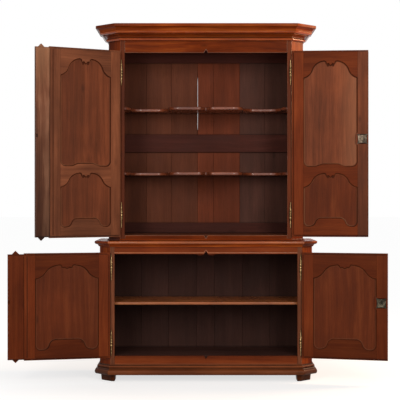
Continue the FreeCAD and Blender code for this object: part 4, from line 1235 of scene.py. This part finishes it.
def door_leaf(door, level):
    """The leaf that is let into the door's edge, as the open door has it."""
    x, y = door.pin.real, door.pin.imag
    left, right = sorted([x - door.side * (LEAF_DEPTH + BEAD_RADIUS), x])
    bottom = level + LEAF_INSET
    return door.opened(slab(
        (left, y - LEAF_THICKNESS / 2, bottom), (right, y + LEAF_THICKNESS / 2, bottom + LEAF_HEIGHT)
    ))


def case_leaf(door, level):
    """The leaf that runs back into the post."""
    x, y = door.pin.real, door.pin.imag
    top = level - LEAF_INSET
    return slab((x - LEAF_THICKNESS / 2, y, top - LEAF_HEIGHT), (x + LEAF_THICKNESS / 2, y + LEAF_DEPTH, top))


case_halves, case_leaves = [], []
for door in DOORS:
    door_halves, door_leaves = [], []
    for level in hinge_levels(door):
        door_halves += turnings(door, level + HINGE_GAP, DOOR_BEADS, 1)
        door_leaves.append(door_leaf(door, level + HINGE_GAP))
        case_halves += turnings(door, level, CASE_BEADS, -1)
        case_leaves.append(case_leaf(door, level))
    node = door.start + "door_hinge_halves"
    made(node + ".turned", door_halves, door.name, [brass], [node])
    made(node + ".leaves", door_leaves, door.name, [tarnished])
made("case_hinge_halves.turned", case_halves, "case", [brass], ["case_hinge_halves"])
made("case_hinge_halves.leaves", case_leaves, "case", [tarnished])


# Locks

def lock_plate(half_width, half_height):
    """A plate with four hollow sides. Its outline is four arcs through the corners, drawn in towards the
    middle ring by ring while it rises over a rounded rim."""
    corners = [complex(-half_width, half_height), complex(half_width, half_height)]
    corners += [-corners[0], -corners[1]]
    hollows = [complex(0, half_height - LOCK_PLATE_HOLLOW), complex(half_width - LOCK_PLATE_HOLLOW, 0)]
    hollows += [-hollows[0], -hollows[1]]
    ends = corners[1:] + corners[:1]
    rim = np.concatenate([arc(*side) for side in zip(corners, hollows, ends)])
    shares = np.array(LOCK_PLATE_SHARES)
    flat = rim * shares[:, :1]
    rings = places(flat.real, flat.imag, LOCK_PLATE_THICKNESS * shares[:, 1:])
    return swept(rings, rings, PLAIN_TONE)


def lock(door, finish, boss_finish):
    """A hollow-sided plate on the inner face with a ringed boss and four screws, over the body in the
    stile."""
    node = door.start + "lock_case"
    low, high = door.box("lock_case")
    middle = ((low[0] + high[0]) / 2, (low[2] + high[2]) / 2)
    half_width, half_height = (high[0] - low[0]) / 2, (high[2] - low[2]) / 2
    face = high[1] - BOSS_HEIGHT
    boss = turned(BOSS_SHARES, BOSS_RADIUS, BOSS_HEIGHT)
    shells = [boss, lock_plate(half_width, half_height)]
    for x in (SCREW_INSET - half_width, half_width - SCREW_INSET):
        for y in (SCREW_INSET - half_height, half_height - SCREW_INSET):
            seat = (x, y, LOCK_PLATE_THICKNESS * SCREW_SEAT_SHARE)
            shells.append(turned(SCREW_SHARES, SCREW_RADIUS, SCREW_HEIGHT, seat))
    shells.append(slab(
        (-LOCK_BODY_WIDTH / 2, -LOCK_BODY_HEIGHT / 2, low[1] - face),
        (LOCK_BODY_WIDTH / 2, LOCK_BODY_HEIGHT / 2, 0),
    ))
    shells = [door.lay(shell, middle, face) for shell in shells]
    mesh = made(node + ".plate", shells, door.name, [finish, boss_finish], [node])
    boss_faces = len(boss.quads) + len(boss.caps)
    finish_faces(mesh, np.arange(len(mesh.polygons)) < boss_faces)


LOCK_FINISHES = {"upper_right_": (brown_iron, iron), "lower_right_": (dark_iron, dark_iron)}
locked_doors = [door for door in DOORS if door.start in LOCK_FINISHES]
for door in locked_doors:
    lock(door, *LOCK_FINISHES[door.start])
    eased(door.start + "escutcheon", door.name, "up", [brass], METAL_EDGE, door.turn)
for door in locked_doors:
    eased(door.start + "lock_bolt", door.stage + "_bolt", "level", [iron], METAL_EDGE, door.turn)


# Stage

def seen_rays(tree):
    """1 for rays from the camera, mirrors and glass, which see the white background, and 0 for light that
    bounces."""
    rays = add(tree, "LightPath").outputs
    seen = rays["Is Camera Ray"]
    for kind in ("Is Glossy Ray", "Is Transmission Ray"):
        seen = add(tree, "Math", {0: seen, 1: rays[kind]}, operation="MAXIMUM")
    return seen


def studio_floor():
    """Matt pale paper that glows to the camera, more so far off, so that it is white where no shadow
    falls."""
    material, tree = blank("matt_white_paper")
    place = add(tree, "TexCoord").outputs["Object"]
    away = add(tree, "VectorMath", {0: place}, operation="LENGTH").outputs["Value"]
    glow = add(tree, "MapRange", {"Value": away, **FLOOR_GLOW})
    glow = add(tree, "Math", {0: seen_rays(tree), 1: glow}, operation="MULTIPLY")
    shader = add(tree, "BsdfPrincipled", {
        "Base Color": linear(FLOOR_COLOUR), "Roughness": FLOOR_ROUGH, "Specular IOR Level": 0.0,
        "Emission Color": WHITE, "Emission Strength": glow,
    })
    add(tree, "OutputMaterial", {"Surface": shader})
    mesh = bpy.data.meshes.new("floor")
    corners = np.array([(-1, -1, 0), (1, -1, 0), (1, 1, 0), (-1, 1, 0)]) * FLOOR_REACH
    mesh.from_pydata(corners, [], [(0, 1, 2, 3)])
    mesh.materials.append(material)
    floor = bpy.data.objects.new("floor", mesh)
    bpy.context.scene.collection.objects.link(floor)


def studio_world():
    """Even white walls: full white to the eye, a soft low light on the object."""
    world = bpy.data.worlds.new("studio")
    bpy.context.scene.world = world
    world.use_nodes = True
    tree = world.node_tree
    tree.nodes.clear()
    strength = add(tree, "MapRange", {"Value": seen_rays(tree), "To Min": AMBIENT, "To Max": 1.0})
    sky = add(tree, "Background", {"Color": WHITE, "Strength": strength})
    add(tree, "OutputWorld", {"Surface": sky})


def hang(lamp):
    """Makes a flat rectangular lamp that faces a point."""
    light = bpy.data.lights.new(lamp.name, "AREA")
    light.shape = "RECTANGLE"
    light.size, light.size_y = lamp.size
    light.energy = lamp.power
    light.color = linear(lamp.colour)[:3]
    body = bpy.data.objects.new(lamp.name, light)
    way = np.array(lamp.aim) - np.array(lamp.place)
    body.location = lamp.place
    body.rotation_euler = (math.atan2(math.hypot(way[0], way[1]), -way[2]), 0, math.atan2(-way[0], way[1]))
    bpy.context.scene.collection.objects.link(body)


studio_floor()
studio_world()
for lamp in LAMPS:
    hang(lamp)

camera = bpy.data.cameras.new("camera")
camera.sensor_width = CAMERA_SENSOR
camera.lens = CAMERA_LENS
camera.shift_y = CAMERA_SHIFT
eye = bpy.data.objects.new("camera", camera)
eye.location = CAMERA_PLACE
eye.rotation_euler = LEVEL_VIEW
bpy.context.scene.collection.objects.link(eye)
bpy.context.scene.camera = eye
bpy.context.scene.view_settings.view_transform = "Standard"
